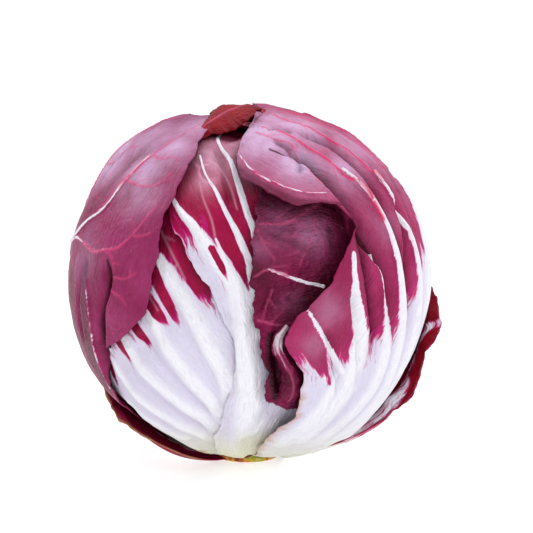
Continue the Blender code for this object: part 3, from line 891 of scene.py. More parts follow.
def rib_fan(count, base_half, reach, across_mm):
    """Even ribs from the stem to a share of the leaf's length: their whiteness and their height."""
    share_across = np.linspace(0, 1, across_mm.shape[0])[:, None]
    share_along = np.linspace(0, 1, across_mm.shape[1])[None, :]
    white, height = np.zeros(across_mm.shape), np.zeros(across_mm.shape)
    for k in range(count):
        centre = (k + 0.5 + 0.25 * math.sin(k * 2.4)) / count
        distance = np.abs(share_across - centre) * across_mm[-1:]
        half = np.maximum(base_half * (1 - share_along / reach), 0.12) * (1 if k % 2 else 1.35)
        fade = smooth_step((reach - share_along) / 0.3)
        white = np.maximum(white, (1 - smooth_step(distance / half - 0.5)) * fade)
        height = height + 1.4 * np.exp(-((distance / (1.1 * half)) ** 2)) * fade
    low = smooth_step((0.42 * reach - share_along) / (0.2 * reach))
    return np.maximum(white, low) * (1 + 2 * SURE) - SURE, height


def spots(directions, places):
    """A soft field that is strong round each place: (azimuth, climb, radius in degrees, strength)."""
    field = np.zeros(directions.shape[:-1])
    for azimuth, climb, radius, amount in places:
        angle = np.degrees(np.arccos(np.clip(directions @ direction(azimuth, climb), -1, 1)))
        field = np.maximum(field, amount * np.exp(-((angle / radius) ** 2)))
    return field


def paint_ribs(directions, across_mm, base_white, fan, strokes):
    """How white the leaf is, how far its ribs stand up in mm, and where they are."""
    white, height = np.full(across_mm.shape, -SURE), np.zeros(across_mm.shape)
    if base_white:
        below = (np.interp(azimuth_of(directions), *zip(*base_white)) - climb_of(directions) + 5) / 10
        white = smooth_step(below) + SURE * np.clip(below - 1, 0, 1) - SURE * np.clip(-below, 0, 1)
    if fan:
        white, height = rib_fan(*fan, across_mm)
    ribs = np.clip(height, 0, 1)
    for places, widths, tone, bulge in strokes:
        mask, profile = stroke_mask(directions, places, widths, fade=tone is not None and tone < 0.3)
        if tone is not None:
            sure_tone = tone + SURE * (2 * tone - 1) * (abs(tone - 0.5) > 0.4)
            white = white + (sure_tone - white) * mask
        height = height + bulge * profile
        if bulge > 0:
            ribs = np.maximum(ribs, profile)
    return white, height, ribs


def crease(name, directions, folds, shades):
    """How far the leaf sinks in its folds, and its painted shade in them and beside other leaves."""
    relief = np.zeros(directions.shape[:-1])
    # Painted shade beside the leaves over this one, in the folds and along the shade strokes.
    beside_cover = 1 - smooth_step(spread(plan_near[name], relief.shape) / SHADE_DEGREES)
    deep = OVERLAP_SHADE * beside_cover
    for places, depth, steep, gentle in folds:
        sunk = fold_depth(directions, places, depth, steep, gentle)
        relief = relief + sunk
        shadow = np.clip(-sunk / (depth * MM), 0, 1) ** 1.5
        deep = np.maximum(deep, FOLD_SHADE * shadow * min(1, depth / FULL_SHADE_DEPTH))
    for places, widths, amount in shades:
        deep = np.maximum(deep, amount * stroke_mask(directions, places, widths)[0])
    return relief, np.clip(deep, 0, 1)


def add_piece(name, mesh, net, directions, radius, finish, slot, seed, **surface):
    """Gives a sheet its veins and crinkles, and makes it a piece of the head."""
    lines = vein_lines(name + "_veins", net, directions, radius)
    bpy.context.scene.collection.objects.link(lines)
    piece = with_surface(name, mesh, lines, finish, Seed=float(seed), **surface)
    bpy.data.objects.remove(lines)
    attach(piece, "root")
    return piece


def make_leaf(name, finish, slot, grid=(180, 260), seed=1, base_white=None, strokes=(), folds=(), shades=(),
              bloom_and_sheen=(), mains=(), side_length=26 * MM, vein_spacing=9 * MM, vein_height=0.3,
              crinkle=(0.8, 14.0), ragged=1.0, curl=0.0, dry=0.0, green=0.0, fan=None):
    """Makes one leaf of the plan.

    base_white: (azimuth, climb) places up to which the leaf's base is white
    strokes: (places, half widths, 1 for white to 0 for red or None, height in mm)
    folds: (places, depth in mm, width of the steep side, width of the gentle side)
    shades: painted shade, as (places, half widths, darkness); bloom_and_sheen: spots of painted wax sheen
    mains: the main veins, as (places, first half width, last half width) in mm
    crinkle: depth and size in mm, and fan: (count, half width, reach) of even ribs
    """
    grid = fine_grid(*grid)
    directions, lift = loft_leaf(PLAN[name]["lines"], grid)
    radius = spread(plan_radius[name], grid) + lift
    free = np.clip(spread(plan_showing[name], grid), 0, 1)
    directions = ragged_margin(directions, seed, RAGGED * ragged)
    across_mm, along_mm, edge = sheet_lengths(directions)
    climb = climb_of(directions)
    white, height, ribs = paint_ribs(directions, across_mm, base_white, fan, strokes)
    relief, deep = crease(name, directions, folds, shades)
    relief = relief + height * MM
    limp = np.exp(-((edge / LIMP_WIDTH) ** 2)) * smooth_step((along_mm - 25) / 25)
    relief = relief + curl * MM * limp * (0.6 + 0.6 * wander(along_mm, 23, seed + 7))
    radius = radius + relief * (HIDDEN_RELIEF + (1 - HIDDEN_RELIEF) * free)
    points = CENTRE + directions * radius[..., None]

    thickness = MARGIN_THICKNESS + (LEAF_THICKNESS - MARGIN_THICKNESS) * smooth_step(edge / THINNING_WIDTH)
    dryness = dry * smooth_step((DRY_WIDTH - edge + 1.2 * wander(along_mm, 9, seed + 5)) / 3.6)
    dryness = dryness * smooth_step((along_mm - 4) / 10) * smooth_step((70 - climb) / 12)
    width = across_mm[-1:]
    across_even = across_mm / width * width.mean()
    streak = (across_even / STREAK_WIDTH, along_mm / STREAK_LENGTH, 0 * along_mm + 7 * seed)
    values = {
        "white": white,
        "free": free,
        # Painted shade: grey lilac in the grooves between the raised ribs, away from the stem.
        "groove": 0.85 * smooth_step((1 - ribs - 0.2) / 0.8) * smooth_step((climb - 18) / 25),
        # Painted sheen: the wax's grey lilac at the listed spots, where the leaf faces the light.
        "bloom_and_sheen": np.clip(spots(directions, bloom_and_sheen), 0, 1),
        "deep": deep,
        "crinkle": smooth_step((along_mm - 12) / 40) * (1 - 0.8 * np.clip(white, 0, 1)),
        "dry": np.clip(dryness, 0, 1),
        "green": green * smooth_step((50 - climb) / 28),
        "streak": np.stack(streak, axis=-1),
    }
    mesh = closed_sheet(name, points, thickness, values)
    if not mains:
        mains = [(places[2:], 0.5, 0.3) for places in PLAN[name]["lines"]]
    net = net_of_veins(mains, side_length, seed, vein_spacing)
    surface = {"Vein height": vein_height, "Crinkle depth": crinkle[0], "Crinkle size": crinkle[1]}
    surface = {socket: size * MM for socket, size in surface.items()}
    piece = add_piece(name, mesh, net, directions, radius, finish, slot, seed, **surface)
    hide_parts(name)
    print(f"{name}: {len(piece.data.polygons)} faces, {len(net)} veins")


print("points across and along a usual leaf:", fine_grid(180, 260))

# %% [markdown]
# ## The left cap leaf
# A smooth purple leaf, folded over the upper left of the head. It shows its outside, so its pale midrib
# runs up across it and the side veins swing off to the margin. Grown veins alone would look like any
# leaf's, so the few thick ones are given as mains, and only the fine ones between them grow.

# %% The left cap leaf
# The outside of an old leaf: purple under a wax whose grey lilac, where it faces the light, is painted sheen.
purple = leaf_finish(
    "waxy_purple_leaf", tissue="#9e3569", shade="#7e1c47", fringe="#b8407c",
    vein="#d9447a", bloom_and_sheen="#ccaacf", deep="#330418",
)
make_leaf(
    "left_cap_leaf", purple, "purple_leaf", grid=(230, 330), seed=3, crinkle=(1.3, 13.0), vein_height=0.45,
    strokes=(
        (((-94, 98), (-81, 105), (-68, 112), (-58, 117), (-53, 127), (-47, 136)),
         (1.6, 1.1, 0.8, 0.5, 0.35, 0.25), 1, 0.7),
        (((-84, 104), (-74, 106), (-65, 105), (-56, 103), (-50, 104)), (1.2, 0.7, 0.45, 0.35, 0.25), 0.9,
         0.5),
        (((-92, 112), (-90, 122), (-90, 134), (-88, 146)), (4.5, 3.0, 2.2, 1.2), 0.62, 0),
        (((-59, 94), (-57, 84), (-57, 74), (-60, 58)), (0.6, 0.7, 0.7, 0.5), 0.6, 0.8),
    ),
    folds=(
        (((-57, 62), (-51, 76), (-49, 86), (-46, 94), (-48, 102)), 3.6, 1.0, 2.0),
        (((-66, 72), (-66, 84), (-63, 96), (-58, 102)), 1.6, 1.0, 2.6),
        (((-70, 116), (-66, 124), (-62, 132), (-54, 142)), 1.0, 1.6, 4.0),
        (((-78, 116), (-77, 128), (-73, 140)), 1.2, 0.8, 3.0),
    ),
    shades=(
        (((-66, 58), (-64, 74), (-62, 90), (-60, 98)), (4, 5, 5, 2), 0.5),
        (((-57, 60), (-52, 74), (-50, 84), (-47, 93), (-48, 101)), (0.8, 1.3, 1.5, 1.3, 0.5), 1.0),
        (((-78, 62), (-76, 80), (-74, 94)), (4, 5, 3), 0.45),
        (((-68, 116), (-64, 124), (-58, 132)), (1.5, 3, 1), 0.3),
    ),
    bloom_and_sheen=((-46, 131, 9, 1.0), (-38, 140, 9, 0.7), (-60, 142, 14, 0.65), (-80, 134, 12, 0.8),
           (-90, 112, 9, 0.6), (-36, 154, 12, 0.6), (-62, 100, 8, 0.35), (-40, 124, 8, 0.45)),
    mains=(
        (((-60, 116), (-53, 127), (-46, 137), (-37, 150), (-33, 160)), 0.6, 0.3),
        (((-65, 105), (-56, 103), (-50, 104), (-44, 105), (-38, 110), (-31, 118)), 0.5, 0.3),
        (((-53, 127), (-48, 126), (-42, 125), (-37, 125), (-33, 126), (-30, 130)), 0.45, 0.28),
        (((-46, 137), (-39, 135), (-33, 136), (-29, 135)), 0.42, 0.26),
        (((-38, 109), (-35, 109), (-31, 110)), 0.35, 0.25),
        (((-50, 104), (-46, 102), (-44, 98)), 0.4, 0.25),
        (((-44, 96), (-39, 96), (-35, 98)), 0.35, 0.22),
        (((-45, 92), (-40, 90), (-38, 88)), 0.35, 0.2),
        (((-88, 130), (-79, 132), (-76, 138), (-67, 140)), 0.4, 0.25),
        (((-92, 114), (-87, 124), (-88, 138), (-80, 150), (-64, 155)), 0.55, 0.4),
        (((-66, 114), (-68, 119), (-71, 124)), 0.3, 0.2),
    ),
    side_length=9 * MM, vein_spacing=13 * MM, dry=0.06,
)

# %% [markdown]
# ## The right wrapper leaf
# The largest leaf: it comes up on the right as white ribs and is pleated over the crown. Cloth would
# pleat in a simulation, but a leaf's pleats are where its ribs are, and stay there. So each fold is a
# line beside a rib, steep on one side and gentle on the other, with painted shade where light can't reach it.

# %% The right wrapper leaf
# The same wax over redder tissue, with clear magenta where the red thins out into the ribs.
lilac = leaf_finish(
    "waxy_lilac_magenta_leaf", tissue="#ad3468", shade="#8e1e4c", fringe="#bf2172",
    vein="#d62e66", bloom_and_sheen="#ccabcf", deep="#40041c",
)
make_leaf(
    "right_wrapper_leaf", lilac, "ribbed_leaf", grid=(220, 340), seed=5, crinkle=(2.2, 10.0), vein_height=0.4,
    base_white=((-20, 70), (18, 74), (30, 72), (38, 74), (44, 78), (52, 80), (60, 86), (70, 96), (76, 104),
                (100, 96), (180, 80)),
    strokes=(
        (((66, 30), (76, 56), (79, 84), (82, 104), (88, 123)), (9, 8, 6, 2.2), 1, 1.6),
        (((58, 40), (66, 70), (67, 96), (64, 114), (60, 129)), (3.6, 3.0, 2.4, 1.1, 0.4), 1, 1.6),
        (((48, 30), (58, 58), (56, 80), (54, 94), (53, 104), (49, 119), (40, 130)),
         (4.2, 3, 2.6, 2.2, 1.4, 0.5), 1, 1.7),
        (((38, 36), (49, 60), (48, 80), (46, 92), (43, 103)), (3.6, 3.0, 2.8, 2.2, 0.6), 1, 1.5),
        (((28, 40), (36, 64), (36, 80), (34, 92), (33, 103)), (3.5, 3.4, 3.6, 3.2, 1.4), 1, 1.5),
        (((18, 36), (28, 54), (30, 66)), (3.0, 2.6, 1.2), 1, 1.3),
        (((96, 40), (96, 70), (98, 100), (98, 124)), (5, 3.5, 2.5, 0.5), 1, 1.3),
        (((36, 110), (35, 98), (37, 88), (39, 78)), (1.6, 1.8, 1.5, 0.4), 0, 0),
        (((41, 110), (40, 98), (41, 90), (43, 81)), (1.2, 1.5, 1.2, 0.3), 0, 0),
        (((47, 112), (48, 100), (50, 88), (52, 76)), (1.6, 1.6, 1.7, 0.3), 0, 0),
        (((58, 116), (58, 104), (60, 94), (61, 86)), (1.4, 1.3, 1.0, 0.3), 0, 0),
        (((68, 122), (73, 114), (76, 105), (77, 98)), (3.4, 3.2, 1.4, 0.3), 0, 0),
        (((26, 94), (26, 85), (29, 76)), (3.4, 3.4, 1.6), 0, 0.5),
        (((15, 84), (21, 75), (28, 65)), (2.0, 2.6, 1.0), 0.04, 0.8),
        (((17, 89), (21, 83), (26, 76), (32, 68)), (0.4, 0.7, 0.9, 0.8), 1, 0.8),
        (((-3, 137), (1, 132), (6, 128), (14, 124), (22, 122), (29, 122)), (0.3, 0.55, 0.7, 0.6, 0.4, 0.2),
         0.85, 0.7),
    ),
    folds=(
        (((26, 150), (34, 145), (41, 141), (47, 134), (51, 130), (54, 122), (55, 113), (56, 102), (58, 84)),
         4.4, 0.9, 3.0),
        (((9, 139), (17, 137), (24, 135), (28, 130), (32, 124), (36, 116), (40, 106), (45, 98), (47, 86),
          (50, 72)), 4.0, 0.9, 3.2),
        (((35, 116), (37, 108), (38, 100), (39, 90), (43, 72)), 3.4, 0.8, 2.2),
        (((62, 134), (64, 122), (62, 108), (60, 92), (62, 72)), 2.6, 0.8, 2.2),
        (((74, 150), (78, 136), (74, 120), (70, 104)), 2.2, 0.9, 2.6),
        (((12, 150), (20, 150), (28, 147)), 1.6, 0.8, 2.2),
        (((20, 128), (23, 133), (20, 140), (12, 144)), 1.4, 0.7, 1.8),
        (((31, 96), (33, 86), (36, 74), (40, 60)), 2.0, 0.9, 2.4),
        (((22, 84), (28, 72), (34, 58)), 1.8, 0.8, 2.0),
        (((70, 96), (70, 80), (68, 60)), 1.8, 1.0, 2.4),
        (((88, 112), (88, 92), (84, 66)), 1.6, 1.2, 3.0),
    ),
    shades=(
        (((33, 121), (38, 112), (40, 104)), (1.0, 1.8, 0.5), 0.7),
        (((42, 140), (49, 132), (54, 124), (56, 112)), (0.8, 1.4, 1.4, 0.6), 0.75),
        (((-4, 131), (6, 124), (18, 119), (32, 118)), (2.2, 2.4, 1.6, 0.8), 0.6),
        (((32, 145), (41, 141), (47, 134), (51, 130), (54, 122), (55, 115), (56, 106), (58, 94)),
         (0.5, 1.0, 1.2, 1.1, 0.9, 0.6), 0.95),
        (((11, 139), (17, 137), (24, 135), (28, 130), (32, 124), (36, 116), (40, 108), (46, 97)),
         (0.5, 0.9, 1.2, 1.2, 1.0, 0.7), 0.95),
        (((35, 113), (37, 101), (38, 91), (41, 78)), (1.2, 1.0, 0.8, 0.4), 0.9),
        (((62, 130), (64, 120), (62, 108), (61, 96)), (0.5, 0.8, 0.7, 0.4), 0.7),
    ),
    bloom_and_sheen=((8, 146, 14, 1.0), (22, 134, 10, 0.9), (34, 150, 14, 0.75), (42, 130, 9, 0.6), (6, 139, 6, 0.7),
           (60, 142, 14, 0.55), (72, 138, 12, 0.5), (20, 160, 14, 0.6), (52, 112, 7, 0.3),
           (90, 130, 14, 0.3), (24, 88, 5, 0.3), (20, 78, 4, 0.25)),
    mains=(
        (((25, 163), (35, 156), (47, 143), (53, 139), (57, 134), (64, 120)), 0.45, 0.6),
        (((11, 152), (20, 148), (29, 140), (37, 133), (40, 128), (46, 124), (50, 113)), 0.5, 0.7),
        (((56, 168), (72, 156), (86, 146), (89, 130)), 0.5, 0.6),
        (((6, 148), (14, 144), (22, 141), (25, 132), (28, 126)), 0.4, 0.25),
        (((44, 165), (60, 154), (70, 142), (72, 130)), 0.4, 0.5),
        (((110, 160), (104, 140), (100, 118)), 0.45, 0.6),
    ),
    green=0.5, dry=0.6, side_length=10 * MM, vein_spacing=9 * MM,
)

# %% [markdown]
# ## The dark leaf at the front
# Between the two wrappers a wrinkled burgundy leaf shows, with a thick pale vein and a ruffled tip.
# Its wrinkles have no order that one could draw, so they come from the noise in the surface tree, set
# deeper and finer than on the smooth leaves, and only its three creases are given as lines.

# %% The front dark leaf
# A shaded leaf with the most pigment and the least wax, so it is dark, wrinkled and glossier.
burgundy = leaf_finish(
    "waxy_burgundy_leaf", tissue="#86144a", shade="#520626", fringe="#a63368",
    vein="#c24a76", bloom_and_sheen="#b878a4", deep="#22020b", roughness=0.32, gloss=0.14, bump=1.0,
)
make_leaf(
    "front_dark_leaf", burgundy, "crimson_leaf", grid=(210, 230), seed=8, crinkle=(2.8, 7.5),
    vein_height=0.45,
    strokes=(
        (((7, 100), (10, 99), (13, 98), (19, 96), (25, 94.5)), (0.3, 0.4, 0.6, 0.6, 0.8), 1, 0.5),
    ),
    shades=(
        (((6, 121), (14, 121), (30, 117)), (1.5, 1.5, 1.0), 0.6),
        (((30, 112), (28, 98), (20, 88)), (1.5, 1.6, 1.4), 0.5),
        (((8, 80), (9, 70), (11, 60)), (1.5, 2.6, 1.6), 0.9),
        (((15, 80), (19, 70), (20, 60)), (1.2, 1.6, 1.2), 0.8),
        (((-2, 92), (2, 80), (5, 66)), (1.0, 1.2, 1.0), 0.35),
    ),
    folds=(
        (((10, 86), (9, 76), (11, 64), (15, 56)), 2.0, 0.9, 2.0),
        (((6, 112), (14, 108), (22, 104)), 1.0, 1.0, 2.4),
        (((12, 92), (18, 88), (24, 88)), 1.2, 0.8, 2.0),
    ),
    bloom_and_sheen=((22, 111, 6, 0.7), (12, 114, 7, 0.35), (4, 106, 4, 0.3), (14, 90, 4, 0.2)),
    mains=(
        (((3, 98), (7, 100), (13, 98)), 0.3, 0.5),
        (((5, 114), (14, 115), (21, 118), (28, 121)), 0.4, 0.6),
        (((4, 112), (6, 107), (9, 103)), 0.3, 0.25),
        (((4, 85), (7, 84), (11, 83), (16, 84)), 0.45, 0.35),
        (((25, 116), (21, 108), (17, 101)), 0.3, 0.25),
        (((8, 94), (6, 88), (5, 84)), 0.35, 0.3),
        (((12, 110), (18, 110), (24, 107)), 0.25, 0.2),
    ),
    side_length=12 * MM, vein_spacing=8 * MM, curl=1.2, ragged=1.4,
)

# %% [markdown]
# ## The front centre leaf
# It shows the youngest colours on the head: clear magenta between white ribs, of which its midrib is
# the broadest. The finish is a young leaf's. The crimson one is made here too, for the leaves behind.

# %% The front centre leaf
# Crimson is the outermost, sunlit tissue. Magenta is young tissue, matt and with pale pink veins.
crimson = leaf_finish(
    "waxy_crimson_leaf", tissue="#98081e", shade="#700414", fringe="#c02c70",
    vein="#cf5c86", bloom_and_sheen="#b98aa6", deep="#30030c",
)
magenta = leaf_finish(
    "waxy_magenta_leaf", tissue="#ab124a", shade="#8c0638", fringe="#c41c7a",
    vein="#e6aac8", bloom_and_sheen="#e6bdd8", deep="#480418", roughness=0.42,
)
make_leaf(
    "front_centre_leaf", magenta, "ribbed_leaf", grid=(210, 320), seed=11, crinkle=(1.0, 8.0),
    vein_height=0.3,
    base_white=((-60, 104), (-26, 112), (-16, 108), (-9, 107), (-4, 97), (1, 93), (12, 88), (40, 80)),
    strokes=(
        (((-27, 122), (-23, 118), (-16, 112), (-12, 107), (-5, 99), (-2, 91), (-1, 79), (1, 59), (2, 40)),
         (0.7, 1.6, 2.7, 3.0, 3.6, 4.2, 4.6, 4.6), 1, 1.8),
        (((-9, 109), (-7, 105), (-4, 100), (-1, 94), (1, 82), (4, 60)), (0.3, 1.0, 1.6, 1.8, 2.0, 2.2), 1,
         1.0),
        (((-22, 139), (-17, 132), (-11, 125), (-6, 117), (-2, 110), (1, 102), (3, 94), (5, 80)),
         (0.35, 0.5, 0.8, 1.0, 1.4, 1.7, 2.0, 2.4), 1, 1.0),
        (((-24, 158), (-17, 148), (-7, 138), (-2, 127), (1, 118), (3, 112), (5, 96)),
         (0.5, 0.7, 1.0, 1.2, 1.4, 1.4, 1.4), 1, 1.1),
        (((-10, 106), (-7, 101), (-4, 95)), (1.0, 1.1, 0.4), 0, 0),
        (((-8, 114), (-5, 108), (-2, 103), (1, 94)), (2.0, 2.2, 1.9, 0.6), 0, 0),
    ),
    folds=(
        (((-5, 92), (-5, 76), (-4, 54)), 1.4, 1.2, 2.6),
        (((-20, 146), (-12, 138), (-8, 128), (-5, 120)), 1.2, 1.0, 2.6),
    ),
    shades=(
        (((-30, 118), (-33, 128), (-30, 140), (-26, 150)), (1.6, 1.4, 1.4, 1.2), 0.6),
        (((-28, 156), (-14, 160), (2, 158)), (1.8, 2.2, 1.8), 0.8),
    ),
    bloom_and_sheen=((-14, 142, 10, 0.75), (-16, 130, 6, 0.4), (-8, 146, 8, 0.6), (0, 136, 7, 0.55)),
    mains=(
        (((-17, 136), (-20, 134), (-18, 130), (-12, 127)), 0.3, 0.25),
        (((-18, 138), (-12, 136), (-6, 128), (-3, 120)), 0.3, 0.25),
        (((-18, 128), (-15, 122), (-11, 115), (-9, 108)), 0.2, 0.26),
        (((-28, 140), (-24, 136), (-20, 134)), 0.3, 0.3),
    ),
    green=1.0, side_length=0,
)

# %% [markdown]
# ## The front left leaf
# Most of it is a fan of broad white ribs that meet at the stem, and the red only starts between their
# ends. Each rib is a raised stroke, and each streak of red a short one laid in the groove beside it.

# %% The front left leaf
make_leaf(
    "front_left_leaf", magenta, "ribbed_leaf", grid=(210, 290), seed=14, crinkle=(1.0, 8.0), vein_height=0.2,
    base_white=((-100, 80), (-60, 76), (-46, 78), (-38, 84), (-30, 97), (-22, 101), (-16, 104), (0, 104)),
    strokes=(
        (((-29, 103), (-23, 96), (-17, 88), (-11, 76), (-6, 60), (-3, 40)), (2.0, 2.4, 2.9, 3.2, 3.2, 3.0),
         1, 2.0),
        (((-34, 94), (-29, 82), (-22, 71), (-14, 58), (-8, 44)), (1.8, 2.2, 2.6, 2.7, 2.6), 1, 1.9),
        (((-44, 78), (-38, 69), (-30, 61), (-21, 52), (-13, 40)), (1.6, 2.1, 2.4, 2.4, 2.2), 1, 1.7),
        (((-53, 68), (-48, 60), (-40, 53), (-30, 46), (-20, 35)), (1.4, 1.8, 2.1, 2.2, 2.0), 1, 1.5),
        (((-62, 54), (-54, 50), (-44, 45), (-32, 38)), (1.2, 1.6, 1.8, 1.6), 1, 1.1),
        (((-25, 112), (-18, 101), (-13, 93), (-8, 85)), (4.2, 3.8, 2.8, 1.0), 0, 0),
        (((-31, 100), (-25, 90), (-19, 80)), (2.0, 2.0, 0.8), 0, 0),
        (((-35, 93), (-29, 87), (-23, 80)), (2.3, 2.2, 0.8), 0, 0),
        (((-41, 85), (-35, 78), (-31, 72)), (1.8, 1.7, 0.7), 0, 0),
        (((-50, 79), (-44, 72), (-41, 66)), (1.6, 1.5, 0.6), 0, 0),
        (((-54, 72), (-57, 62), (-61, 52)), (1.3, 1.3, 0.5), 0.2, 0),
    ),
    folds=(
        (((-26, 92), (-18, 80), (-11, 64), (-7, 46)), 1.2, 1.2, 2.2),
        (((-38, 82), (-29, 70), (-20, 58), (-12, 44)), 1.2, 1.2, 2.2),
        (((-48, 70), (-38, 60), (-27, 50), (-17, 38)), 1.0, 1.2, 2.2),
    ),
    mains=(
        (((-30, 112), (-24, 104), (-19, 97)), 0.3, 0.22),
        (((-34, 96), (-31, 91), (-28, 87)), 0.26, 0.2),
    ),
    side_length=5 * MM, green=0.8, dry=0.8, ragged=0.8,
)

# %% [markdown]
# ## Curled tips
# Two tips curl over: the burgundy leaf rolls into a lobe with a white edge, and a red fold closes the
# gap at the crown. Each is a narrow sheet along a line, arched across like a strip of peel. The lines
# of a curl carry their lift over the leaf, as in the plan. Bending the leaf's own sheet right round
# would cross its faces at the tip, so the curl is a piece of its own that starts on the leaf.

# %% Curled tips
RUFFLE_SHARE = 0.10
RUFFLE_HEIGHT = 0.35 * MM
CURL_THICKNESS = 0.5 * MM
CURL_LENGTH = 60
CURL_GRID = (41, 121)


def make_curl(name, over, places, half_widths, arch, finish, slot, white=(), grid=CURL_GRID, seed=1):
    """A narrow arched sheet along places that lift off the leaf it lies over."""
    line = line_over(places, grid[1])
    share = np.linspace(0, 1, grid[1])
    tangent = unit(np.gradient(line[:, :3], axis=0))
    side = np.cross(line[:, :3], tangent)
    across = np.linspace(-1, 1, grid[0])[:, None]
    none = np.zeros(grid)
    half = through(np.array(half_widths, float), share)[None, :] * MM
    ruffle = 1 + RUFFLE_SHARE * wander(share[None, :] * CURL_LENGTH, 9, seed) * np.sign(across)
    directions = unit(line[None, :, :3] + side[None] * (across * half * ruffle / HEAD_RADIUS)[..., None])
    round_ends = np.sin(math.pi * np.clip(share, 0.04, 0.96))[None, :] ** 0.5
    lift = line[None, :, 3] * MM + arch * MM * (1 - across**2) * round_ends
    wave = RUFFLE_HEIGHT * wander(share[None, :] * CURL_LENGTH, 7, seed + 2) * across**2
    radius = stacked_radius(over, directions) + lift
    points = CENTRE + directions * (radius + wave)[..., None]
    pale = none - 0.5
    if white:
        pale = pale + np.interp(share, *zip(*white))[None, :] * (1 - across**2) ** 0.5
    streak = np.stack([across * 3 + none, share * 3 + none, none + seed], axis=-1)
    values = dict.fromkeys(("groove", "bloom_and_sheen", "dry", "green"), none)
    # Painted shade darkens the curl towards both sides, where it arches down.
    values.update(white=pale, free=none + 1, crinkle=none + 1, deep=0.5 * np.abs(across) ** 3 + none,
                  streak=streak)
    mesh = closed_sheet(name, points, np.full(grid, CURL_THICKNESS), values)
    net = [(line[::6, :3], 0.35, 0.25)]
    surface = {"Vein height": 0.2 * MM, "Crinkle depth": 1.2 * MM, "Crinkle size": 6 * MM}
    piece = add_piece(name, mesh, net, directions, radius, finish, slot, seed, **surface)
    print(f"{name}: {len(piece.data.polygons)} faces")


make_curl(
    "front_dark_leaf_curl", "front_dark_leaf",
    ((13, 83, 0.5), (10.5, 80, 1), (10, 76.5, 1.2), (12, 72.5, 1), (14.5, 68, 1), (16, 63, 1),
     (15.5, 58, 1), (13.5, 55, 0.5)),
    (1.2, 2.0, 2.2, 2.5, 3.3, 4.3, 4.6, 2.4), 2.8, burgundy, "crimson_leaf",
    white=((0, 1.6), (0.2, 1.7), (0.3, 0.9), (0.5, 0.5), (0.62, 0.0), (1, 0)), seed=31,
)
make_curl(
    "crown_leaf_fold", "crown_leaf", ((-31, 148, 0), (-23, 156, 2), (-13, 165, 4.5), (10, 171, 5.5),
                                      (34, 167, 2)),
    (4, 6, 7.5, 7, 5), 2.4, crimson, "crimson_leaf", seed=33,
)

# %% [markdown]
# ## The outermost leaves and the back
# The two outermost leaves cup the head from behind. They are older: darker, torn and dry at the rim.
# The back is plain, so its leaves need few strokes of their own: one rule fans out even white ribs from
# the stem, the veins grow by themselves, and a different seed keeps the leaves from looking alike.

# %% The outermost leaves and the back
BACK = dict(grid=(150, 210), crinkle=(1.8, 12.0), green=0.6)
make_leaf(
    "back_right_leaf", crimson, "crimson_leaf", seed=21, fan=(7, 3.5, 0.7), curl=1.5, ragged=1.4,
    strokes=((((88, 56), (90, 66), (90, 74), (86, 80)), (2.5, 3.4, 2.6, 1.6), 0.7, 0.8),
             (((76, 34), (83, 48), (86, 58)), (2.4, 3.6, 2.4), 0.75, 0.6)),
    folds=((((84, 44), (87, 58), (90, 74), (94, 84)), 2.0, 1.0, 2.4),), **BACK,
)
make_leaf("back_left_leaf", magenta, "purple_leaf", seed=23,
          strokes=((((-30, 13), (-50, 27), (-62, 36), (-74, 43), (-90, 51)), (8, 10, 10, 10, 10), 0, 0),),
          fan=(7, 3.0, 0.45), dry=0.8, curl=1.2, ragged=1.8, **BACK)
make_leaf("back_leaf", magenta, "ribbed_leaf", seed=25, fan=(8, 5.0, 0.75), **BACK)
make_leaf("crown_leaf", crimson, "crimson_leaf", seed=27, fan=(7, 4.0, 0.6), curl=2.2, ragged=1.5, **BACK)

# %% [markdown]
# ## The stem
# The head was cut off with a knife, so the stem is a short uneven disc: yellow green where it is fresh
# and orange to brown where it dries. A cylinder with a bevel would be quicker, but looks machined. So
# the disc is turned from rings like a bowl, and the rings wobble a little, all but the hidden last.

# %% The stem
# Each ring is a share of the stem's radius and a height in millimetres.
RINGS = ((0.90, 0.0), (0.97, 0.3), (1.0, 1.0), (0.985, 1.7), (0.96, 2.5), (0.93, 3.6), (0.9, 5.5))
STEM_SIDES = 180
SHRUNK = 0.35
WOBBLE = 0.45
STAIN_SIZE = 4.35 * MM


def fill_stops(ramp, stops):
    """Sets the stops of a colour ramp, as (position, hex colour), and gives its colour."""
    elements = ramp.color_ramp.elements
    while len(elements) < len(stops):
        elements.new(0.5)
    for element, (position, colour) in zip(elements, stops):
        element.position, element.color = position, linear(colour)
    return ramp.outputs["Color"]


# Cut stem tissue is wet and pale inside and dries from the rim, through yellow and orange to brown.
stem_finish = bpy.data.materials.new("cut_stem_tissue")
stem_finish.use_nodes = True
stem_nodes = stem_finish.node_tree
shader = stem_nodes.nodes["Principled BSDF"]
place = add_node(stem_nodes, "ShaderNodeTexCoord").outputs["Object"]
mottled = {"Vector": place, "Scale": 1 / STAIN_SIZE, "Detail": 5.0}
mottle = add_node(stem_nodes, "ShaderNodeTexNoise", mottled).outputs["Fac"]
stem_tone = fill_stops(
    add_node(stem_nodes, "ShaderNodeValToRGB", {"Fac": mottle}),
    ((0.34, "#7c3517"), (0.43, "#cf6f33"), (0.50, "#d9b23c"), (0.58, "#a9a52a"), (0.68, "#dcd38a"))
)
rough = add_node(stem_nodes, "ShaderNodeBump", {"Strength": 0.8, "Distance": 0.6 * MM, "Height": mottle})
stem_nodes.links.new(stem_tone, shader.inputs["Base Color"])
stem_nodes.links.new(rough.outputs[0], shader.inputs["Normal"])
shader.inputs["Roughness"].default_value = 0.5
shader.inputs["Specular IOR Level"].default_value = 0.3


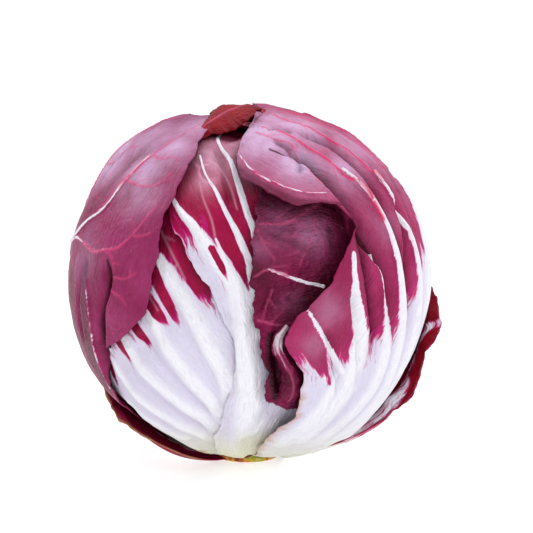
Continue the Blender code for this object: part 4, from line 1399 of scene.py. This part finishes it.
def turned_rings(rings, sides, radius):
    """Points and faces of a closed disc whose rings wobble, all but the last."""
    angles = np.linspace(0, 2 * math.pi, sides, endpoint=False)
    around = 2 * math.pi * 40
    wobble = wander(angles * 40, around / 9, 2) * 0.25 + wander(angles * 40, around / 31, 5) * 0.25
    points, faces = [], []
    for share, height in rings:
        reach = radius * share - (SHRUNK + WOBBLE * wobble * (height < rings[-1][1])) * MM
        points += np.stack([reach * np.sin(angles), -reach * np.cos(angles), 0 * angles + height * MM],
                           1).tolist()
    points += [(0, 0, 0), (0, 0, rings[-1][1] * MM)]
    bottom, top, last = len(points) - 2, len(points) - 1, (len(rings) - 1) * sides
    for i in range(sides):
        j = (i + 1) % sides
        faces += [(k + i, k + j, k + sides + j, k + sides + i) for k in range(0, last, sides)]
        faces += [(bottom, j, i), (top, last + i, last + j)]
    return points, faces


points, faces = turned_rings(RINGS, STEM_SIDES, STEM_RADIUS)
stem_mesh = bpy.data.meshes.new("stem_piece")
stem_mesh.from_pydata(points, [], faces)
stem_mesh.shade_smooth()
stem_mesh.materials.append(stem_finish)
stem_piece = bpy.data.objects.new("cut_stem", stem_mesh)
bpy.context.scene.collection.objects.link(stem_piece)
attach(stem_piece, "root")
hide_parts("stem")
print("stem faces:", len(faces))

# %% [markdown]
# ## Leaf scars
# Every leaf that was pulled off left a thin brown scar round the stem. They repeat at the golden angle
# like the leaves did, so Geometry Nodes set them on a circle, each with its own turn and tilt.

# %% Leaf scars
SCAR_COUNT = 17
SCAR_RADIUS = 0.9 * MM
SCAR_STRETCH = (0.45, 1.9, 0.8)
SCAR_UP = 2.6 * MM
GOLDEN_ANGLE = math.radians(137.5)
SPECK_SIZE = 2.5 * MM

# A scar is dead, corky tissue: dull and dark brown, with paler specks.
scar_finish = bpy.data.materials.new("dry_leaf_scar")
scar_finish.use_nodes = True
scar_nodes = scar_finish.node_tree
place = add_node(scar_nodes, "ShaderNodeTexCoord").outputs["Object"]
speckled = {"Vector": place, "Scale": 1 / SPECK_SIZE, "Detail": 3.0}
grain = add_node(scar_nodes, "ShaderNodeTexNoise", speckled).outputs["Fac"]
scar_tone = fill_stops(add_node(scar_nodes, "ShaderNodeValToRGB", {"Fac": grain}),
                       ((0.4, "#2c1410"), (0.6, "#8a4a2c")))
scar_nodes.links.new(scar_tone, scar_nodes.nodes["Principled BSDF"].inputs["Base Color"])
scar_nodes.nodes["Principled BSDF"].inputs["Roughness"].default_value = 0.7

scar_tree = bpy.data.node_groups.new("leaf_scars", "GeometryNodeTree")
for socket, kind in (("Count", "NodeSocketInt"), ("Ring radius", "NodeSocketFloat"),
                     ("Seed", "NodeSocketInt"),
                     ("Finish", "NodeSocketMaterial")):
    scar_tree.interface.new_socket(socket, in_out="INPUT", socket_type=kind)
scar_tree.interface.new_socket("Geometry", in_out="OUTPUT", socket_type="NodeSocketGeometry")
into = add_node(scar_tree, "NodeGroupInput").outputs
index = add_node(scar_tree, "GeometryNodeInputIndex").outputs[0]
turn = add_node(scar_tree, "ShaderNodeMath", {0: index, 1: GOLDEN_ANGLE}, operation="MULTIPLY").outputs[0]
spin = add_node(scar_tree, "ShaderNodeCombineXYZ", {"Z": turn}).outputs[0]
lowest, highest = (-0.6, -0.6, 0.0), (0.6, 0.6, 0.7)
tilt = add_node(
    scar_tree, "FunctionNodeRandomValue", {"Min": lowest, "Max": highest, "ID": index, "Seed": into["Seed"]},
    data_type="FLOAT_VECTOR",
).outputs[0]
reach = add_node(scar_tree, "ShaderNodeCombineXYZ", {"X": into["Ring radius"], "Z": SCAR_UP}).outputs[0]
place = add_node(scar_tree, "ShaderNodeVectorRotate", {"Vector": reach, "Rotation": spin},
                 rotation_type="EULER_XYZ")
cloud = add_node(scar_tree, "GeometryNodePoints",
                 {"Count": into["Count"], "Position": place.outputs[0]}).outputs[0]
flake = add_node(scar_tree, "GeometryNodeMeshIcoSphere",
                 {"Radius": SCAR_RADIUS, "Subdivisions": 3}).outputs["Mesh"]
shape = add_node(scar_tree, "GeometryNodeTransform", {"Geometry": flake, "Scale": SCAR_STRETCH}).outputs[0]
turned = add_node(scar_tree, "ShaderNodeVectorMath", {0: spin, 1: tilt}, operation="ADD").outputs[0]
set_out = add_node(
    scar_tree, "GeometryNodeInstanceOnPoints", {"Points": cloud, "Instance": shape, "Rotation": turned}
).outputs[0]
real = add_node(scar_tree, "GeometryNodeRealizeInstances", {"Geometry": set_out}).outputs[0]
smooth = add_node(scar_tree, "GeometryNodeSetShadeSmooth", {"Geometry": real}).outputs[0]
painted = add_node(scar_tree, "GeometryNodeSetMaterial",
                   {"Geometry": smooth, "Material": into["Finish"]}).outputs[0]
add_node(scar_tree, "NodeGroupOutput", {0: painted})
scars = bpy.data.objects.new("leaf_scars_raw", bpy.data.meshes.new("leaf_scars_raw"))
bpy.context.scene.collection.objects.link(scars)
modifier = scars.modifiers.new("leaf_scars", "NODES")
modifier.node_group = scar_tree
settings = {"Count": SCAR_COUNT, "Ring radius": STEM_RADIUS - SCAR_RADIUS, "Seed": 4, "Finish": scar_finish}
for item in scar_tree.interface.items_tree:
    if item.in_out == "INPUT":
        modifier[item.identifier] = settings[item.name]
bpy.context.view_layer.update()
scar_mesh = bpy.data.meshes.new_from_object(scars.evaluated_get(bpy.context.evaluated_depsgraph_get()))
bpy.data.objects.remove(scars)
scar_piece = bpy.data.objects.new("leaf_scars", scar_mesh)
bpy.context.scene.collection.objects.link(scar_piece)
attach(scar_piece, "root")
print("leaf scars:", len(scar_mesh.polygons), "faces")

# %% [markdown]
# ## The leaves inside
# They are hidden, but the head is real all the way in, so the frame's own inner leaves keep their
# shape. Modelling them again would show nothing more, so they only take the finish of young tissue.

# %% The leaves inside
hidden = [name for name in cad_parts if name.startswith("inner_leaf") or name == "heart_bud"]
for name in hidden:
    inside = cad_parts[name].data
    inside.materials.clear()
    inside.materials.append(magenta)
print("pieces inside:", len(hidden))
